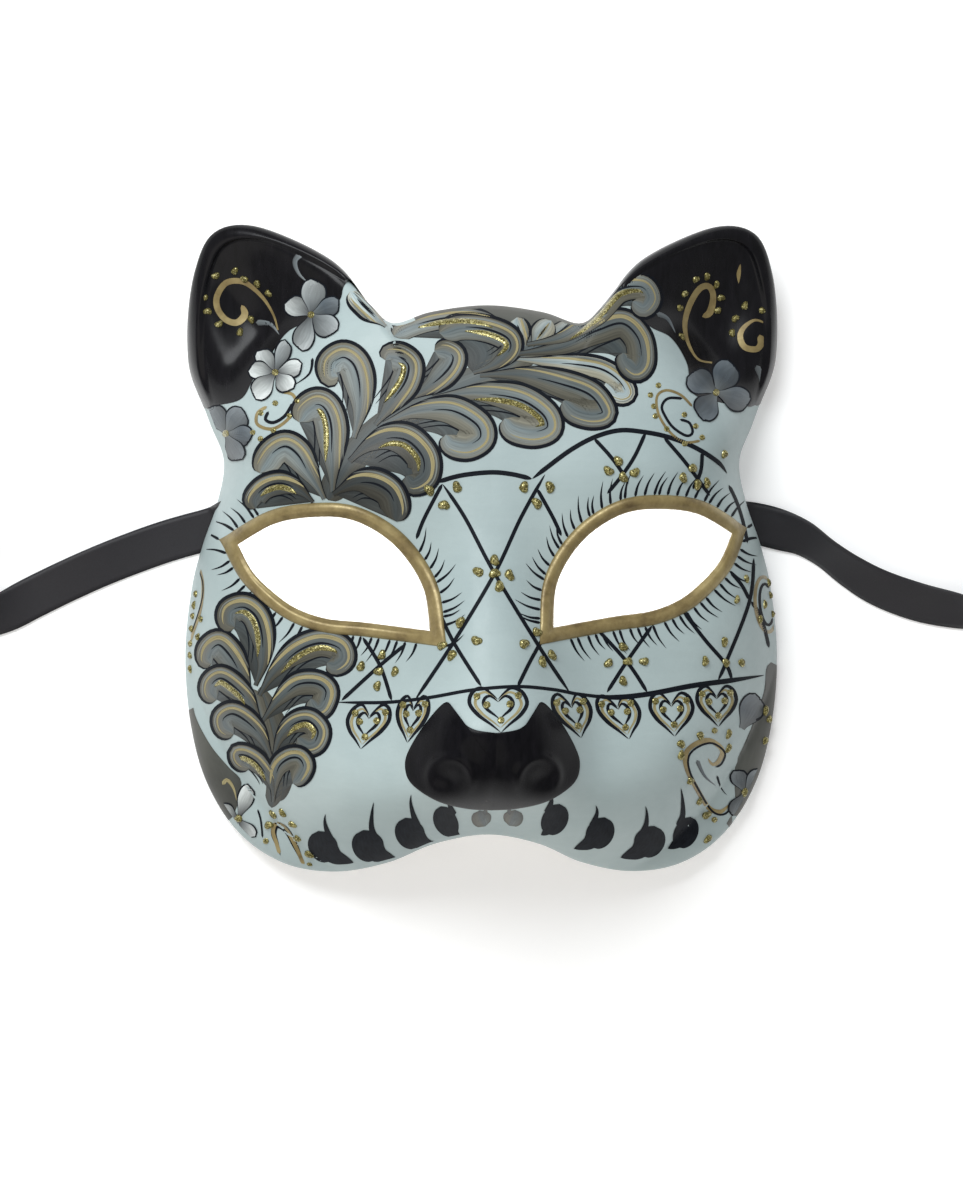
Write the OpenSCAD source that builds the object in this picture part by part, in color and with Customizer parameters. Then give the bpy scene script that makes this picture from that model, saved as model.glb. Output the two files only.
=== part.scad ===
// Venetian cat half-mask, lying on its back: +Y runs towards the ears, +Z out of the face.
// The rim rests on z = 0, and the origin is under the middle of the face.

/* [Shell] */
// Width across the cheeks
mask_w = 185; // [165:1:205]
// Height from the cheek lobes to the ear tips
mask_h = 200; // [180:1:220]
// Depth from the rim to the front of the nose
mask_d = 84; // [74:1:94]
// Thickness of the papier-mache
wall = 2.6; // [2:0.1:3.2]

/* [Ears] */
// Depth of the hollow in each ear
ear_cup = 10; // [5:0.5:12]
// Thickness of the lacquer skin in the ears
lacquer = 1; // [0.6:0.1:1.2]

/* [Eyes] */
// Width of the gilt rim round each eye
rim_w = 4.3; // [3.5:0.1:5]
// Height of the gilt rim above the face
rim_h = 1.6; // [1:0.1:2.2]
// Turn of the wearer's left eye, which sits a little higher
eye_turn = 2.5; // [0:0.5:4]

/* [Nose] */
// Thickness of the black nose cap
nose_cap_t = 0.9; // [0.6:0.1:1.4]

/* [Ribbons] */
// Width of the satin ribbon
ribbon_w = 13; // [10:0.5:15]
// Thickness of the ribbon
ribbon_t = 0.6; // [0.4:0.1:1]
// Middle radius of the outer turn of each wound-up ribbon
coil_r = 35; // [32:1:38]

/* [Glitter] */
// Diameter of a raised bead of gold glitter
bead_d = 2.5; // [1.8:0.1:3]
// Height of a bead
bead_h = 1.3; // [0.8:0.1:1.6]

/* [Hidden] */

// The points below are drawn for a mask of this size, and scaled to the sizes above
DRAWN = [185, 200, 84];
scale_x = mask_w / DRAWN.x;
scale_y = mask_h / DRAWN.y;
scale_z = mask_d / DRAWN.z;

// Half of the rim, from the middle of the forehead round to the upper lip:
// x, y, height of the rim, and how tightly the face rolls over to it
RIM = [
    [0, 75.5, 32, 9], [17, 73.5, 31, 9], [29, 70, 30, 14], [36, 75.5, 30, 24], [44.5, 85, 28, 30],
    [57, 93, 25, 30], [73, 99, 21, 30], [83.5, 97, 18, 30], [88.5, 86, 13, 28], [90.5, 70, 7, 24],
    [89.5, 54, 2, 18], [85, 40, 0, 14], [80.5, 28, 0, 12], [82.5, 15, 1.5, 12], [87, 2, 1.5, 11],
    [90.5, -12, 0, 11], [92.5, -32, 0, 11], [91, -53, 0, 11], [86, -72, 1, 10], [76, -88, 4, 10],
    [62, -97.5, 9, 10], [46, -100, 14, 10], [30, -97, 20, 11], [16, -91, 29, 14], [0, -88, 37, 14]
];

// Height of the nose ridge over the cheeks, every 15 mm down from y = 45
RIDGE = [0, 0, 1.5, 4.5, 10, 16.5, 22.5, 25, 20, 4, 0, 0];
RIDGE_TOP = 45;
RIDGE_STEP = 15;

// Upper and lower lid of the eye, from the inner corner out and back
UPPER_LID = [[19, -25], [20.5, -13], [25.5, -3.5], [33, 4], [43, 9], [54, 9.8], [66, 7.8], [77, 1.5]];
LOWER_LID = [[77, 1.5], [72.5, -7], [66, -13.5], [59, -18.3], [50, -21.3], [38, -22.5], [19, -25]];
EYE_LIFT = 1;

// Half of the nose cap's edge, from the dip in its top round to its foot
NOSE_EDGE = [[0, -56], [7, -54.8], [11.5, -51], [14.4, -46.8], [20.2, -52.7], [25, -60.5], [26.6, -66],
             [24.7, -71.6], [17, -76.8], [8, -79.2], [0, -79.8]];
NOSE_MIDDLE = [0, -66];

// The line where the hollow of the ear begins: a unit normal and its distance from the origin
EAR_NORMAL = [0.649, 0.761];
EAR_LINE = 86;
// How far the face blends into the ear on either side of that line
EAR_BLEND = [-13, 12];
// Where the hollow is deepest, the way the ear points, and the hollow's half-sizes along and across it
EAR_MIDDLE = [73, 76];
EAR_WAY = [0.5, 0.87];
EAR_HALF = [25, 15];

function spline(a, b, c, d, f) =
    0.5 * (2 * b + (c - a) * f + (2 * a - 5 * b + 4 * c - d) * f * f + (3 * b - a - 3 * c + d) * f * f * f);

// The point of an open curve through pts, at u from 0 to the number of spans
function along(pts, u) =
    let (last = len(pts) - 1, i = min(last - 1, max(0, floor(u))))
    spline(pts[max(0, i - 1)], pts[i], pts[i + 1], pts[min(last, i + 2)], u - i);

// Half of the rim mirrored at its ends, so that the curve is level where it crosses the middle
function flip(p) = [-p[0], p[1], p[2], p[3]];
RIM_ENDS = concat([flip(RIM[1])], RIM, [flip(RIM[len(RIM) - 2])]);
function rim_at(u) = along(RIM_ENDS, u + 1);
RIM_SPANS = len(RIM) - 1;

// Bearing, radius, height and roll of the rim, for looking up any point of the face
RIM_STEPS = 144;
RIM_TABLE = [for (k = [0:RIM_STEPS]) rim_at(k * RIM_SPANS / RIM_STEPS)];
RADIUS_AT = [for (p = RIM_TABLE) [atan2(p[0], p[1]), norm([p[0], p[1]])]];
HEIGHT_AT = [for (p = RIM_TABLE) [atan2(p[0], p[1]), max(0, p[2])]];
ROLL_AT = [for (p = RIM_TABLE) [atan2(p[0], p[1]), p[3]]];

function bell(x, y, cx, cy, wx, wy, h) = h * exp(-pow((x - cx) / wx, 2) - pow((y - cy) / wy, 2));
function step_up(a, b, v) = let (f = min(1, max(0, (v - a) / (b - a)))) f * f * (3 - 2 * f);

// The dome of the head, and what swells from it or sinks into it
function dome(x, y) = 8 + 50 * sqrt(max(0.02, 1 - pow(x / 99, 2) - pow((y - 5) / 120, 2)));
function ridge(x, y) =
    let (u = (RIDGE_TOP - y) / RIDGE_STEP, wide = 13 + 12 * step_up(10, -58, y))
    (u < 0 ? 0 : along(RIDGE, min(u, len(RIDGE) - 1))) * exp(-pow(x / wide, 2.4));
function nose_pad(x, y) = 8 * exp(-pow(x / 25, 4) - pow((y + 63) / 17, 4));
function face(x, y) =
    dome(x, y) + ridge(x, y) + nose_pad(x, y)
    + bell(x, y, 37, -78, 27, 22, 13) + bell(x, y, 66, -60, 22, 26, 5)
    + bell(x, y, 44, 24, 26, 13, 4) - bell(x, y, 46, -8, 24, 13, 5)
    - bell(x, y, 14, -70, 4.5, 3.5, 2.5) - bell(x, y, 0, -80, 2.5, 8, 1.5);

// The ear: a leaning plane with a hollow in it and a bead along its edge
function ear_plane(x, y) = 37 - 0.3 * x + 0.14 * y;
function ear_hollow(x, y) =
    let (d = [x, y] - EAR_MIDDLE, lengthwise = d * EAR_WAY, across = d * [EAR_WAY.y, -EAR_WAY.x])
    ear_cup * exp(-pow(lengthwise / EAR_HALF.x, 2) - pow(across / EAR_HALF.y, 2));
function in_ear(x, y) = step_up(EAR_BLEND[0], EAR_BLEND[1], [x, y] * EAR_NORMAL - EAR_LINE);

function form(x, y) =
    let (e = in_ear(x, y)) face(x, y) * (1 - e) + (ear_plane(x, y) - ear_hollow(x, y)) * e;

// Height of the outside of the mask over any point of its outline
function drawn_height(x, y) =
    let (bearing = atan2(x, y), t = min(1, norm([x, y]) / lookup(bearing, RADIUS_AT)),
         foot = lookup(bearing, HEIGHT_AT))
    foot + (form(x, y) - foot) * sqrt(max(0, 1 - pow(t, lookup(bearing, ROLL_AT))));
function height(x, y) = scale_z * drawn_height(abs(x) / scale_x, y / scale_y);
function on_face(x, y, lift = 0) = [x, y, height(x, y) + lift];
function placed(p) = [p[0] * scale_x, p[1] * scale_y];
function unit(v) = v / norm(v);

// A closed sheet from a grid of rings: front and back, joined round the edge
function sheet_faces(across, rings, shut) =
    let (per = across * rings, spans = shut ? across : across - 1)
    [for (j = [0:rings - 2], i = [0:spans - 1], half = [0, 1])
        let (a = j * across + i, b = j * across + (i + 1) % across, c = b + across, d = a + across)
        half == 0 ? [a, c, b] : [a, d, c]];
function flat_list(rows) = [for (r = rows) each r];
function turned(faces, shift) = [for (f = faces) [f[0] + shift, f[2] + shift, f[1] + shift]];
function rim_faces(across, start, shift) =
    [for (i = [0:across - 1], half = [0, 1])
        let (a = start + i, b = start + (i + 1) % across)
        half == 0 ? [a, a + shift, b] : [b, a + shift, b + shift]];

// Rings of the shell, from a small one in the middle to the rim
SHELL_ACROSS = 100;
INNER_RINGS = 13;
EDGE_RINGS = 8;
EDGE_START = 0.86;
MEAN_ROLL = 12;
FIRST_T = 0.02;
EDGE_TURN = acos(sqrt(1 - pow(EDGE_START, MEAN_ROLL)));
RING_T = concat(
    [for (k = [0:INNER_RINGS - 1]) FIRST_T + (EDGE_START - FIRST_T) * k / INNER_RINGS],
    [for (k = [0:EDGE_RINGS])
        pow(1 - pow(cos(EDGE_TURN + (90 - EDGE_TURN) * k / EDGE_RINGS), 2), 1 / MEAN_ROLL)]);
SHELL_RINGS = len(RING_T);

function round_rim(i) =
    let (u = 2 * RIM_SPANS * i / SHELL_ACROSS)
    u <= RIM_SPANS ? rim_at(u) : flip(rim_at(2 * RIM_SPANS - u));
OUTER = [for (t = RING_T) [for (i = [0:SHELL_ACROSS - 1])
    let (edge = round_rim(i), p = placed(edge) * t)
    t == 1 ? [p.x, p.y, scale_z * max(0, edge[2])] : on_face(p.x, p.y)]];
function shell_normal(j, i) =
    let (n = SHELL_ACROSS, last = SHELL_RINGS - 1,
         round = OUTER[j][(i + 1) % n] - OUTER[j][(i + n - 1) % n],
         out = OUTER[min(last, j + 1)][i] - OUTER[max(0, j - 1)][i], v = cross(round, out))
    unit(j == last ? [v.x, v.y, 0] : v);
INNER = [for (j = [0:SHELL_RINGS - 1]) [for (i = [0:SHELL_ACROSS - 1])
    OUTER[j][i] - wall * shell_normal(j, i)]];

module shell_solid() {
    n = SHELL_ACROSS;
    back = n * SHELL_RINGS;
    outside = sheet_faces(n, SHELL_RINGS, true);
    polyhedron(concat(flat_list(OUTER), flat_list(INNER)),
        concat(outside, [[for (i = [0:n - 1]) i]], turned(outside, back),
               [[for (i = [n - 1:-1:0]) back + i]], rim_faces(n, back - n, back)));
}

// One eye: its edge, drawn on the +X side, and the same edge pushed outwards
LID_STEPS = 26;
function lid(pts) = [for (k = [0:LID_STEPS - 1]) along(pts, k * (len(pts) - 1) / LID_STEPS)];
EYE = concat(lid(UPPER_LID), lid(LOWER_LID));
function turn_eye(p, angle, lift) =
    let (d = p - UPPER_LID[0])
    UPPER_LID[0] + [d.x * cos(angle) - d.y * sin(angle), d.x * sin(angle) + d.y * cos(angle) + lift];
EYE_RIGHT = [for (p = EYE) placed(turn_eye(p, eye_turn, EYE_LIFT))];
EYE_LEFT = [for (p = EYE) placed([-p.x, p.y])];
function outward(pts, d) =
    let (n = len(pts))
    [for (i = [0:n - 1])
        let (a = unit(pts[i] - pts[(i + n - 1) % n]), b = unit(pts[(i + 1) % n] - pts[i]),
             m = unit(a + b), corner = max(0.6, m * a))
        pts[i] + d / corner * [-m.y, m.x]];

// The gilt rim's section: how far out of the opening, and how far above the face
HOLE_GROW = 1.2;
RIM_SECTION = [
    [0.2, -wall - 0.3], [0, -0.8], [0.4, 0.55 * rim_h], [0.3 * rim_w, rim_h], [0.62 * rim_w, 0.9 * rim_h],
    [0.88 * rim_w, 0.5 * rim_h], [rim_w, 0], [HOLE_GROW, 0], [HOLE_GROW, -wall - 0.3]
];

module eye_hole(edge) {
    linear_extrude(mask_d) polygon(edge);
}

// side is 1 where the edge runs anticlockwise, seen from the front, and -1 where it runs clockwise
module eye_rim(edge, side) {
    n = len(edge);
    sections = len(RIM_SECTION);
    rows = [for (s = RIM_SECTION) [for (p = outward(edge, side * s[0])) on_face(p.x, p.y, s[1])]];
    faces = [for (j = [0:sections - 1], i = [0:n - 1], half = [0, 1])
        let (a = j * n + i, b = j * n + (i + 1) % n, k = ((j + 1) % sections) * n,
             c = k + (i + 1) % n, d = k + i, f = half == 0 ? [a, b, c] : [a, c, d])
        side < 0 ? f : [f[0], f[2], f[1]]];
    polyhedron(flat_list(rows), faces);
}

// A thin skin that lies on the face between two rows of points, the first one nearer the middle
module skin(rows, thick) {
    n = len(rows[0]);
    m = len(rows);
    base = n * m;
    top = [for (r = rows, p = r) on_face(p.x, p.y, thick)];
    foot = [for (r = rows, p = r) on_face(p.x, p.y)];
    grid = [for (j = [0:m - 2], i = [0:n - 2], half = [0, 1])
        let (a = j * n + i) half == 0 ? [a, a + n + 1, a + 1] : [a, a + n, a + n + 1]];
    walk = concat([for (i = [0:n - 1]) i], [for (j = [1:m - 1]) j * n + n - 1],
                  [for (i = [n - 2:-1:0]) (m - 1) * n + i], [for (j = [m - 2:-1:1]) j * n]);
    side = [for (k = [0:len(walk) - 1], half = [0, 1])
        let (a = walk[k], b = walk[(k + 1) % len(walk)])
        half == 0 ? [a, b, a + base] : [b, b + base, a + base]];
    polyhedron(concat(top, foot), concat(grid, turned(grid, base), side));
}

// The nose cap grows in rings from its middle
NOSE_RINGS = 8;
NOSE_SPANS = 3;
function round_nose() =
    let (right = [for (k = [0:(len(NOSE_EDGE) - 1) * NOSE_SPANS]) along(NOSE_EDGE, k / NOSE_SPANS)])
    concat(right, [for (k = [len(right) - 2:-1:1]) [-right[k].x, right[k].y]]);

module face_shell() {
    color("azure") resize([0, 0, 0]) difference() {
        shell_solid();
        eye_hole(outward(EYE_RIGHT, HOLE_GROW));
        eye_hole(outward(EYE_LEFT, -HOLE_GROW));
    }
}

module eye_rim_right() {
    color("goldenrod") eye_rim(EYE_RIGHT, 1);
}

module eye_rim_left() {
    color("goldenrod") eye_rim(EYE_LEFT, -1);
}

module nose_cap() {
    edge = round_nose();
    n = len(edge);
    rows = [for (j = [1:NOSE_RINGS]) [for (p = edge)
        placed(NOSE_MIDDLE + (p - NOSE_MIDDLE) * j / NOSE_RINGS)]];
    base = n * NOSE_RINGS;
    front = concat(sheet_faces(n, NOSE_RINGS, true), [[for (i = [0:n - 1]) i]]);
    back = concat(turned(sheet_faces(n, NOSE_RINGS, true), base), [[for (i = [n - 1:-1:0]) base + i]]);
    color("black") polyhedron(
        concat([for (r = rows, p = r) on_face(p.x, p.y, nose_cap_t)],
               [for (r = rows, p = r) on_face(p.x, p.y)]),
        concat(front, back, rim_faces(n, base - n, base)));
}

// The lacquer skin of an ear fans out from the line where the hollow begins, over these bearings
EAR_FROM = 29;
EAR_TO = 61;
EAR_FAN = 20;
EAR_ROWS = 10;
EAR_REACH = 0.985;
function ear_point(bearing, f) =
    let (way = [sin(bearing), cos(bearing)], start = EAR_LINE / (way * EAR_NORMAL),
         end = EAR_REACH * lookup(bearing, RADIUS_AT))
    placed(way * (start + (end - start) * f));
module ear_lining(side) {
    rows = [for (j = [0:EAR_ROWS]) [for (i = [0:EAR_FAN])
        let (bearing = EAR_FROM + (EAR_TO - EAR_FROM) * (side > 0 ? i : EAR_FAN - i) / EAR_FAN,
             p = ear_point(bearing, j / EAR_ROWS))
        [side * p.x, p.y]]];
    color("black") skin(rows, lacquer);
}

module ear_lining_left() {
    ear_lining(-1);
}

module ear_lining_right() {
    ear_lining(1);
}

// The place on the face that is seen at p: the turn moves high places sideways, and none lies past the rim
VIEW_TURN = 3;
SEEN_STEPS = 12;
SEEN_REACH = 0.985;
function seen_x(p, x, left) =
    let (next = (p.x - drawn_height(abs(x), p.y) * sin(VIEW_TURN)) / cos(VIEW_TURN))
    left == 0 ? x : seen_x(p, (x + next) / 2, left - 1);
function seen(p) =
    let (q = [seen_x(p, p.x / cos(VIEW_TURN), SEEN_STEPS), p.y],
         far = norm(q) / lookup(atan2(abs(q.x), q.y), RADIUS_AT))
    q * min(1, SEEN_REACH / max(far, 0.1));

// A bead is a low dome, set square to the face
BEAD_SIDES = 24;
BEAD_STEPS = 4;
SLOPE_STEP = 0.5;
module bead(p) {
    q = placed(seen(p));
    e = SLOPE_STEP;
    lean = unit([height(q.x - e, q.y) - height(q.x + e, q.y),
                 height(q.x, q.y - e) - height(q.x, q.y + e), 2 * e]);
    translate(on_face(q.x, q.y)) rotate([0, acos(lean.z), atan2(lean.y, lean.x)])
        rotate_extrude($fn = BEAD_SIDES)
            polygon([for (k = [0:BEAD_STEPS]) let (a = 90 * k / BEAD_STEPS)
                         [bead_d / 2 * cos(a), bead_h * sin(a)],
                     [0, 0]]);
}
module beads(places) {
    color("gold") for (p = places) bead(p);
}

// The places of the beads, as they are seen from the front with the mask turned a little about its long axis
BRIDGE_BEADS = [[-16, 18], [-7.5, 19], [-11.5, 13.5], [13, 19], [21, 19], [17, 14], [-1, -7], [8.5, -8],
                [4, -3.5], [5.5, -11.5], [4, -7.5], [-6.5, -22.5], [-1.5, -28], [-12, -29.5],
                [-9, -32.5], [13, -29], [17, -25.5], [21.5, -32.5], [18.5, -34.5]];
BROW_BEADS = [[39, 24], [47, 23.5], [42, 27], [43.5, 22], [62, 22], [65, 25], [66.5, 20], [69.5, 20.5],
              [75, 29.5]];
CHEEK_BEADS_LEFT = [[-37, -36], [-30.5, -32.5], [-26.5, -37.5], [-32, -42], [-31.5, -37.5],
                    [-64.5, -82], [-61.5, -81.5], [-58.5, -85], [-57, -89.5], [-66, -85.5], [-53.5, -94.5],
                    [-75.5, -83.5]];
CHEEK_BEADS_RIGHT = [[39, -35], [43.5, -30], [50, -34.5], [43.5, -40.5], [45, -34.5], [75, -28.5],
                     [69, -34.5], [80.5, -35], [75.5, -35], [67.5, -57.5], [61.5, -60], [61.5, -63.5],
                     [76.5, -57], [76.5, -61.5], [64.5, -71.5], [67.5, -78], [70, -82.5], [82, -75.5],
                     [70.5, -90], [88.5, -50], [90, -53], [90.5, -61]];
TEMPLE_BEADS_LEFT = [[-91, -14], [-91, -17.5], [-92, -21], [-92.5, -25], [-92, -29.5], [-91, -33],
                     [-92, -37.5], [-87, -21.5], [-88, -27]];
TEMPLE_BEADS_RIGHT = [[90.5, -10.5], [91.5, -14.5], [92.5, -20.5], [82, -9], [79, -15.5], [88, -17],
                      [86.5, -21.5]];
EAR_BEADS_LEFT = [[-82.5, 85], [-76.5, 86.5], [-73.5, 84], [-69.5, 82.5], [-66, 79.5], [-86, 78.5],
                  [-85, 74], [-81.5, 70], [-75, 67.5], [-71.5, 71.5]];
EAR_BEADS_RIGHT = [[66.5, 84], [70, 85], [73, 82.5], [74.5, 78.5], [73.5, 74.5], [63, 79.5], [61.5, 75],
                   [62, 66], [79, 72], [78, 67.5], [82, 76], [87.5, 74.5]];

module bridge_beads() {
    beads(BRIDGE_BEADS);
}

module brow_beads() {
    beads(BROW_BEADS);
}

module cheek_beads_left() {
    beads(CHEEK_BEADS_LEFT);
}

module cheek_beads_right() {
    beads(CHEEK_BEADS_RIGHT);
}

module temple_beads_left() {
    beads(TEMPLE_BEADS_LEFT);
}

module temple_beads_right() {
    beads(TEMPLE_BEADS_RIGHT);
}

module ear_beads_left() {
    beads(EAR_BEADS_LEFT);
}

module ear_beads_right() {
    beads(EAR_BEADS_RIGHT);
}

// The ribbons: x, y, height of the middle, and lean of the width, where 0 lies flat and 90 is on edge.
// Each comes down the inside of the temple, under the rim and out over the table.
ROUTE_LEFT = [
    [-78.4, 9.4, 17, 0], [-79.6, 9, 11, 0], [-80.6, 8.4, 5, 0], [-82.4, 7.4, 1.6, 0], [-86, 6.2, 0.8, 0],
    [-92, 4.6, 0.6, 0], [-100, 2.2, 0.6, 0], [-110, -1.4, 1, 4], [-120, -5.4, 1.4, 7], [-130, -9.9, 1.2, 5],
    [-140, -14.8, 1, 3], [-148, -19, 2.4, 15], [-156, -22.4, 5.2, 45], [-164, -25.2, 6.8, 80],
    [-172, -27, 6.9, 90], [-180, -28, 6.9, 90]
];
ROUTE_RIGHT = [
    [78.4, 9.4, 17, 0], [79.6, 9.2, 11, 0], [80.6, 9, 5, 0], [82.4, 8.8, 1.6, 0], [86, 8.3, 0.8, 0],
    [92, 6.8, 1.9, -10], [100, 4, 4.4, -35], [107.5, -1, 5.4, -48], [116, -7, 4.8, -40], [125, -12, 3.9, -30],
    [137, -16.3, 3.4, -25], [149, -19, 4.4, -35], [156, -20.6, 6.1, -60], [164, -22.6, 6.9, -82],
    [172, -24.5, 6.9, -90], [180, -26, 6.9, -90]
];
ROUTE_STEPS = 2;

// A flat section of eight points, swept along a route
function ribbon_section() =
    let (w = ribbon_w / 2, t = ribbon_t / 2)
    [[-w, -t / 2], [-w / 2, -t], [w / 2, -t], [w, -t / 2], [w, t / 2], [w / 2, t], [-w / 2, t], [-w, t / 2]];
module ribbon(route) {
    n = (len(route) - 1) * ROUTE_STEPS;
    line = [for (k = [0:n]) along(route, k / ROUTE_STEPS)];
    section = ribbon_section();
    sides = len(section);
    points = [for (k = [0:n], s = section)
        let (a = line[max(0, k - 1)], b = line[min(n, k + 1)], p = line[k],
             ahead = unit([b[0] - a[0], b[1] - a[1], b[2] - a[2]]),
             level = unit(cross(ahead, [0, 0, 1])), up = cross(level, ahead),
             wide = level * cos(p[3]) + up * sin(p[3]), thick = up * cos(p[3]) - level * sin(p[3]))
        [p[0], p[1], p[2]] + s[0] * wide + s[1] * thick];
    faces = [for (k = [0:n - 1], i = [0:sides - 1], half = [0, 1])
        let (a = k * sides + i, b = k * sides + (i + 1) % sides, c = a + sides, d = b + sides)
        half == 0 ? [a, b, c] : [b, d, c]];
    color("#1a181d") polyhedron(points, concat(faces, [[for (i = [sides - 1:-1:0]) i]],
                                               [[for (i = [0:sides - 1]) n * sides + i]]));
}

module ribbon_left() {
    ribbon(ROUTE_LEFT);
}

module ribbon_right() {
    ribbon(ROUTE_RIGHT);
}

// The rest of each ribbon, wound up and standing on its edge
COIL_LEFT = [-186, 7];
COIL_RIGHT = [186, 9];
COIL_DEEP = 9;
COIL_SKIN = 1;
module ribbon_coil(middle) {
    color("#1a181d") translate([middle.x, middle.y, 0]) rotate_extrude($fn = 96)
        translate([coil_r - COIL_DEEP - COIL_SKIN, 0.2]) square([COIL_DEEP + 2 * COIL_SKIN, ribbon_w + 0.2]);
}

module ribbon_coil_left() {
    ribbon_coil(COIL_LEFT);
}

module ribbon_coil_right() {
    ribbon_coil(COIL_RIGHT);
}

// The cloth patch that holds a ribbon's end to the inside of the temple
PATCH_SIZE = [0.8, 19, 11];
PATCH_PLACE = [78.2, 9.2, 14.5];
PATCH_LEAN = 12;
module ribbon_patch(side) {
    color("dimgray") mirror([side < 0 ? 1 : 0, 0, 0]) translate(PATCH_PLACE)
        rotate([0, -PATCH_LEAN, 0]) cube(PATCH_SIZE, center = true);
}

module ribbon_patch_left() {
    ribbon_patch(-1);
}

module ribbon_patch_right() {
    ribbon_patch(1);
}

face_shell();
nose_cap();
eye_rim_left();
eye_rim_right();
ear_lining_left();
ear_lining_right();
bridge_beads();
brow_beads();
cheek_beads_left();
cheek_beads_right();
temple_beads_left();
temple_beads_right();
ear_beads_left();
ear_beads_right();
ribbon_patch_left();
ribbon_patch_right();
ribbon_left();
ribbon_right();
ribbon_coil_left();
ribbon_coil_right();
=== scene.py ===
"""Looks of the Venetian cat half-mask. It lies on its back: +Y runs towards the ears, +Z out of the face.

Shape work is in millimetres, with the same formulas as the CAD model, and meshes are made in metres.
Painting is laid out as seen from the camera and dropped onto the face along the line of sight.
"""
import math

import bmesh
import bpy
import numpy as np
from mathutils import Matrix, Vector


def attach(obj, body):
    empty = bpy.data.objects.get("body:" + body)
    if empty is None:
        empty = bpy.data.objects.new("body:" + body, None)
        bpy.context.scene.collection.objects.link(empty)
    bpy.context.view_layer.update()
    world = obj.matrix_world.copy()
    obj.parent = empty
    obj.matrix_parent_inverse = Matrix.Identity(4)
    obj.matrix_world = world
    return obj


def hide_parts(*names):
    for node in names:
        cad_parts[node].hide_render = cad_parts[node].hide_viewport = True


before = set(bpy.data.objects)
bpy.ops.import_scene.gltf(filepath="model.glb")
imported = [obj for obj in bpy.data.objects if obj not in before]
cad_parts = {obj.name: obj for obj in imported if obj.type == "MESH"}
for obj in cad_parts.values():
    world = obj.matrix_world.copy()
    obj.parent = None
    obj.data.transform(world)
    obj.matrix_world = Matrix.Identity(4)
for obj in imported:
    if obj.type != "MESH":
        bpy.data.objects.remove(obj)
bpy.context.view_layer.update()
MM = 0.001
ROOT = "root"

# ---------------------------------------------------------------- camera

YAW = math.radians(3.0)
CAMERA_AWAY = 3.0
PICTURE_TALL = 0.375
SENSOR = 36.0
AIM = (0.0, -0.0156, 0.0)


def make_camera():
    data = bpy.data.cameras.new("camera")
    data.sensor_width = SENSOR
    data.lens = SENSOR * CAMERA_AWAY / PICTURE_TALL
    data.clip_end = 30.0
    camera = bpy.data.objects.new("camera", data)
    camera.location = (AIM[0] - CAMERA_AWAY * math.sin(YAW), AIM[1], AIM[2] + CAMERA_AWAY * math.cos(YAW))
    camera.rotation_euler = (0.0, -YAW, 0.0)
    bpy.context.collection.objects.link(camera)
    bpy.context.scene.camera = camera


make_camera()

# ---------------------------------------------------------------- shape of the face, in millimetres

WALL = 2.6
EAR_CUP = 10.0
RIM_W = 4.3
RIM_H = 1.6
EYE_TURN = math.radians(2.5)
EYE_LIFT = 1.0
SEEN_STEPS = 12
HOLE_GROW = 1.2
RIM_MARGIN = 0.985

RIM = np.array([
    [0, 75.5, 32, 9], [17, 73.5, 31, 9], [29, 70, 30, 14], [36, 75.5, 30, 24], [44.5, 85, 28, 30],
    [57, 93, 25, 30], [73, 99, 21, 30], [83.5, 97, 18, 30], [88.5, 86, 13, 28], [90.5, 70, 7, 24],
    [89.5, 54, 2, 18], [85, 40, 0, 14], [80.5, 28, 0, 12], [82.5, 15, 1.5, 12], [87, 2, 1.5, 11],
    [90.5, -12, 0, 11], [92.5, -32, 0, 11], [91, -53, 0, 11], [86, -72, 1, 10], [76, -88, 4, 10],
    [62, -97.5, 9, 10], [46, -100, 14, 10], [30, -97, 20, 11], [16, -91, 29, 14], [0, -88, 37, 14]])
RIDGE = np.array([0, 0, 1.5, 4.5, 10, 16.5, 22.5, 25, 20, 4, 0, 0])
RIDGE_TOP = 45.0
RIDGE_STEP = 15.0
UPPER_LID = np.array([
    [19, -25], [20.5, -13], [25.5, -3.5], [33, 4], [43, 9], [54, 9.8], [66, 7.8], [77, 1.5]])
LOWER_LID = np.array([
    [77, 1.5], [72.5, -7], [66, -13.5], [59, -18.3], [50, -21.3], [38, -22.5], [19, -25]])
NOSE_EDGE = np.array([
    [0, -56], [7, -54.8], [11.5, -51], [14.4, -46.8], [20.2, -52.7], [25, -60.5], [26.6, -66],
    [24.7, -71.6], [17, -76.8], [8, -79.2], [0, -79.8]])
NOSE_MIDDLE = np.array([0.0, -66.0])
EAR_NORMAL = np.array([0.649, 0.761])
EAR_LINE = 86.0
EAR_MIDDLE = np.array([73.0, 76.0])
EAR_HALF = (25.0, 15.0)


def along(points, u):
    """Points of the smooth curve through points, at each u from 0 to the number of spans."""
    points = np.asarray(points, float)
    u = np.asarray(u, float)
    last = len(points) - 1
    i = np.clip(np.floor(u).astype(int), 0, last - 1)
    f = (u - i).reshape(u.shape + (1,) * (points.ndim - 1))
    a, b = points[np.maximum(i - 1, 0)], points[i]
    c, d = points[i + 1], points[np.minimum(i + 2, last)]
    return 0.5 * (2 * b + (c - a) * f + (2 * a - 5 * b + 4 * c - d) * f ** 2
                  + (3 * b - a - 3 * c + d) * f ** 3)


def smooth(points, spacing):
    """An open curve through points, with steps of about spacing."""
    points = np.asarray(points, float)
    fine = along(points, np.linspace(0, len(points) - 1, 24 * len(points)))
    run = np.concatenate([[0], np.cumsum(np.linalg.norm(np.diff(fine, axis=0), axis=1))])
    count = max(3, int(round(run[-1] / spacing)) + 1)
    steps = np.linspace(0, run[-1], count)
    return np.stack([np.interp(steps, run, fine[:, k]) for k in range(fine.shape[1])], axis=1)


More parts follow.
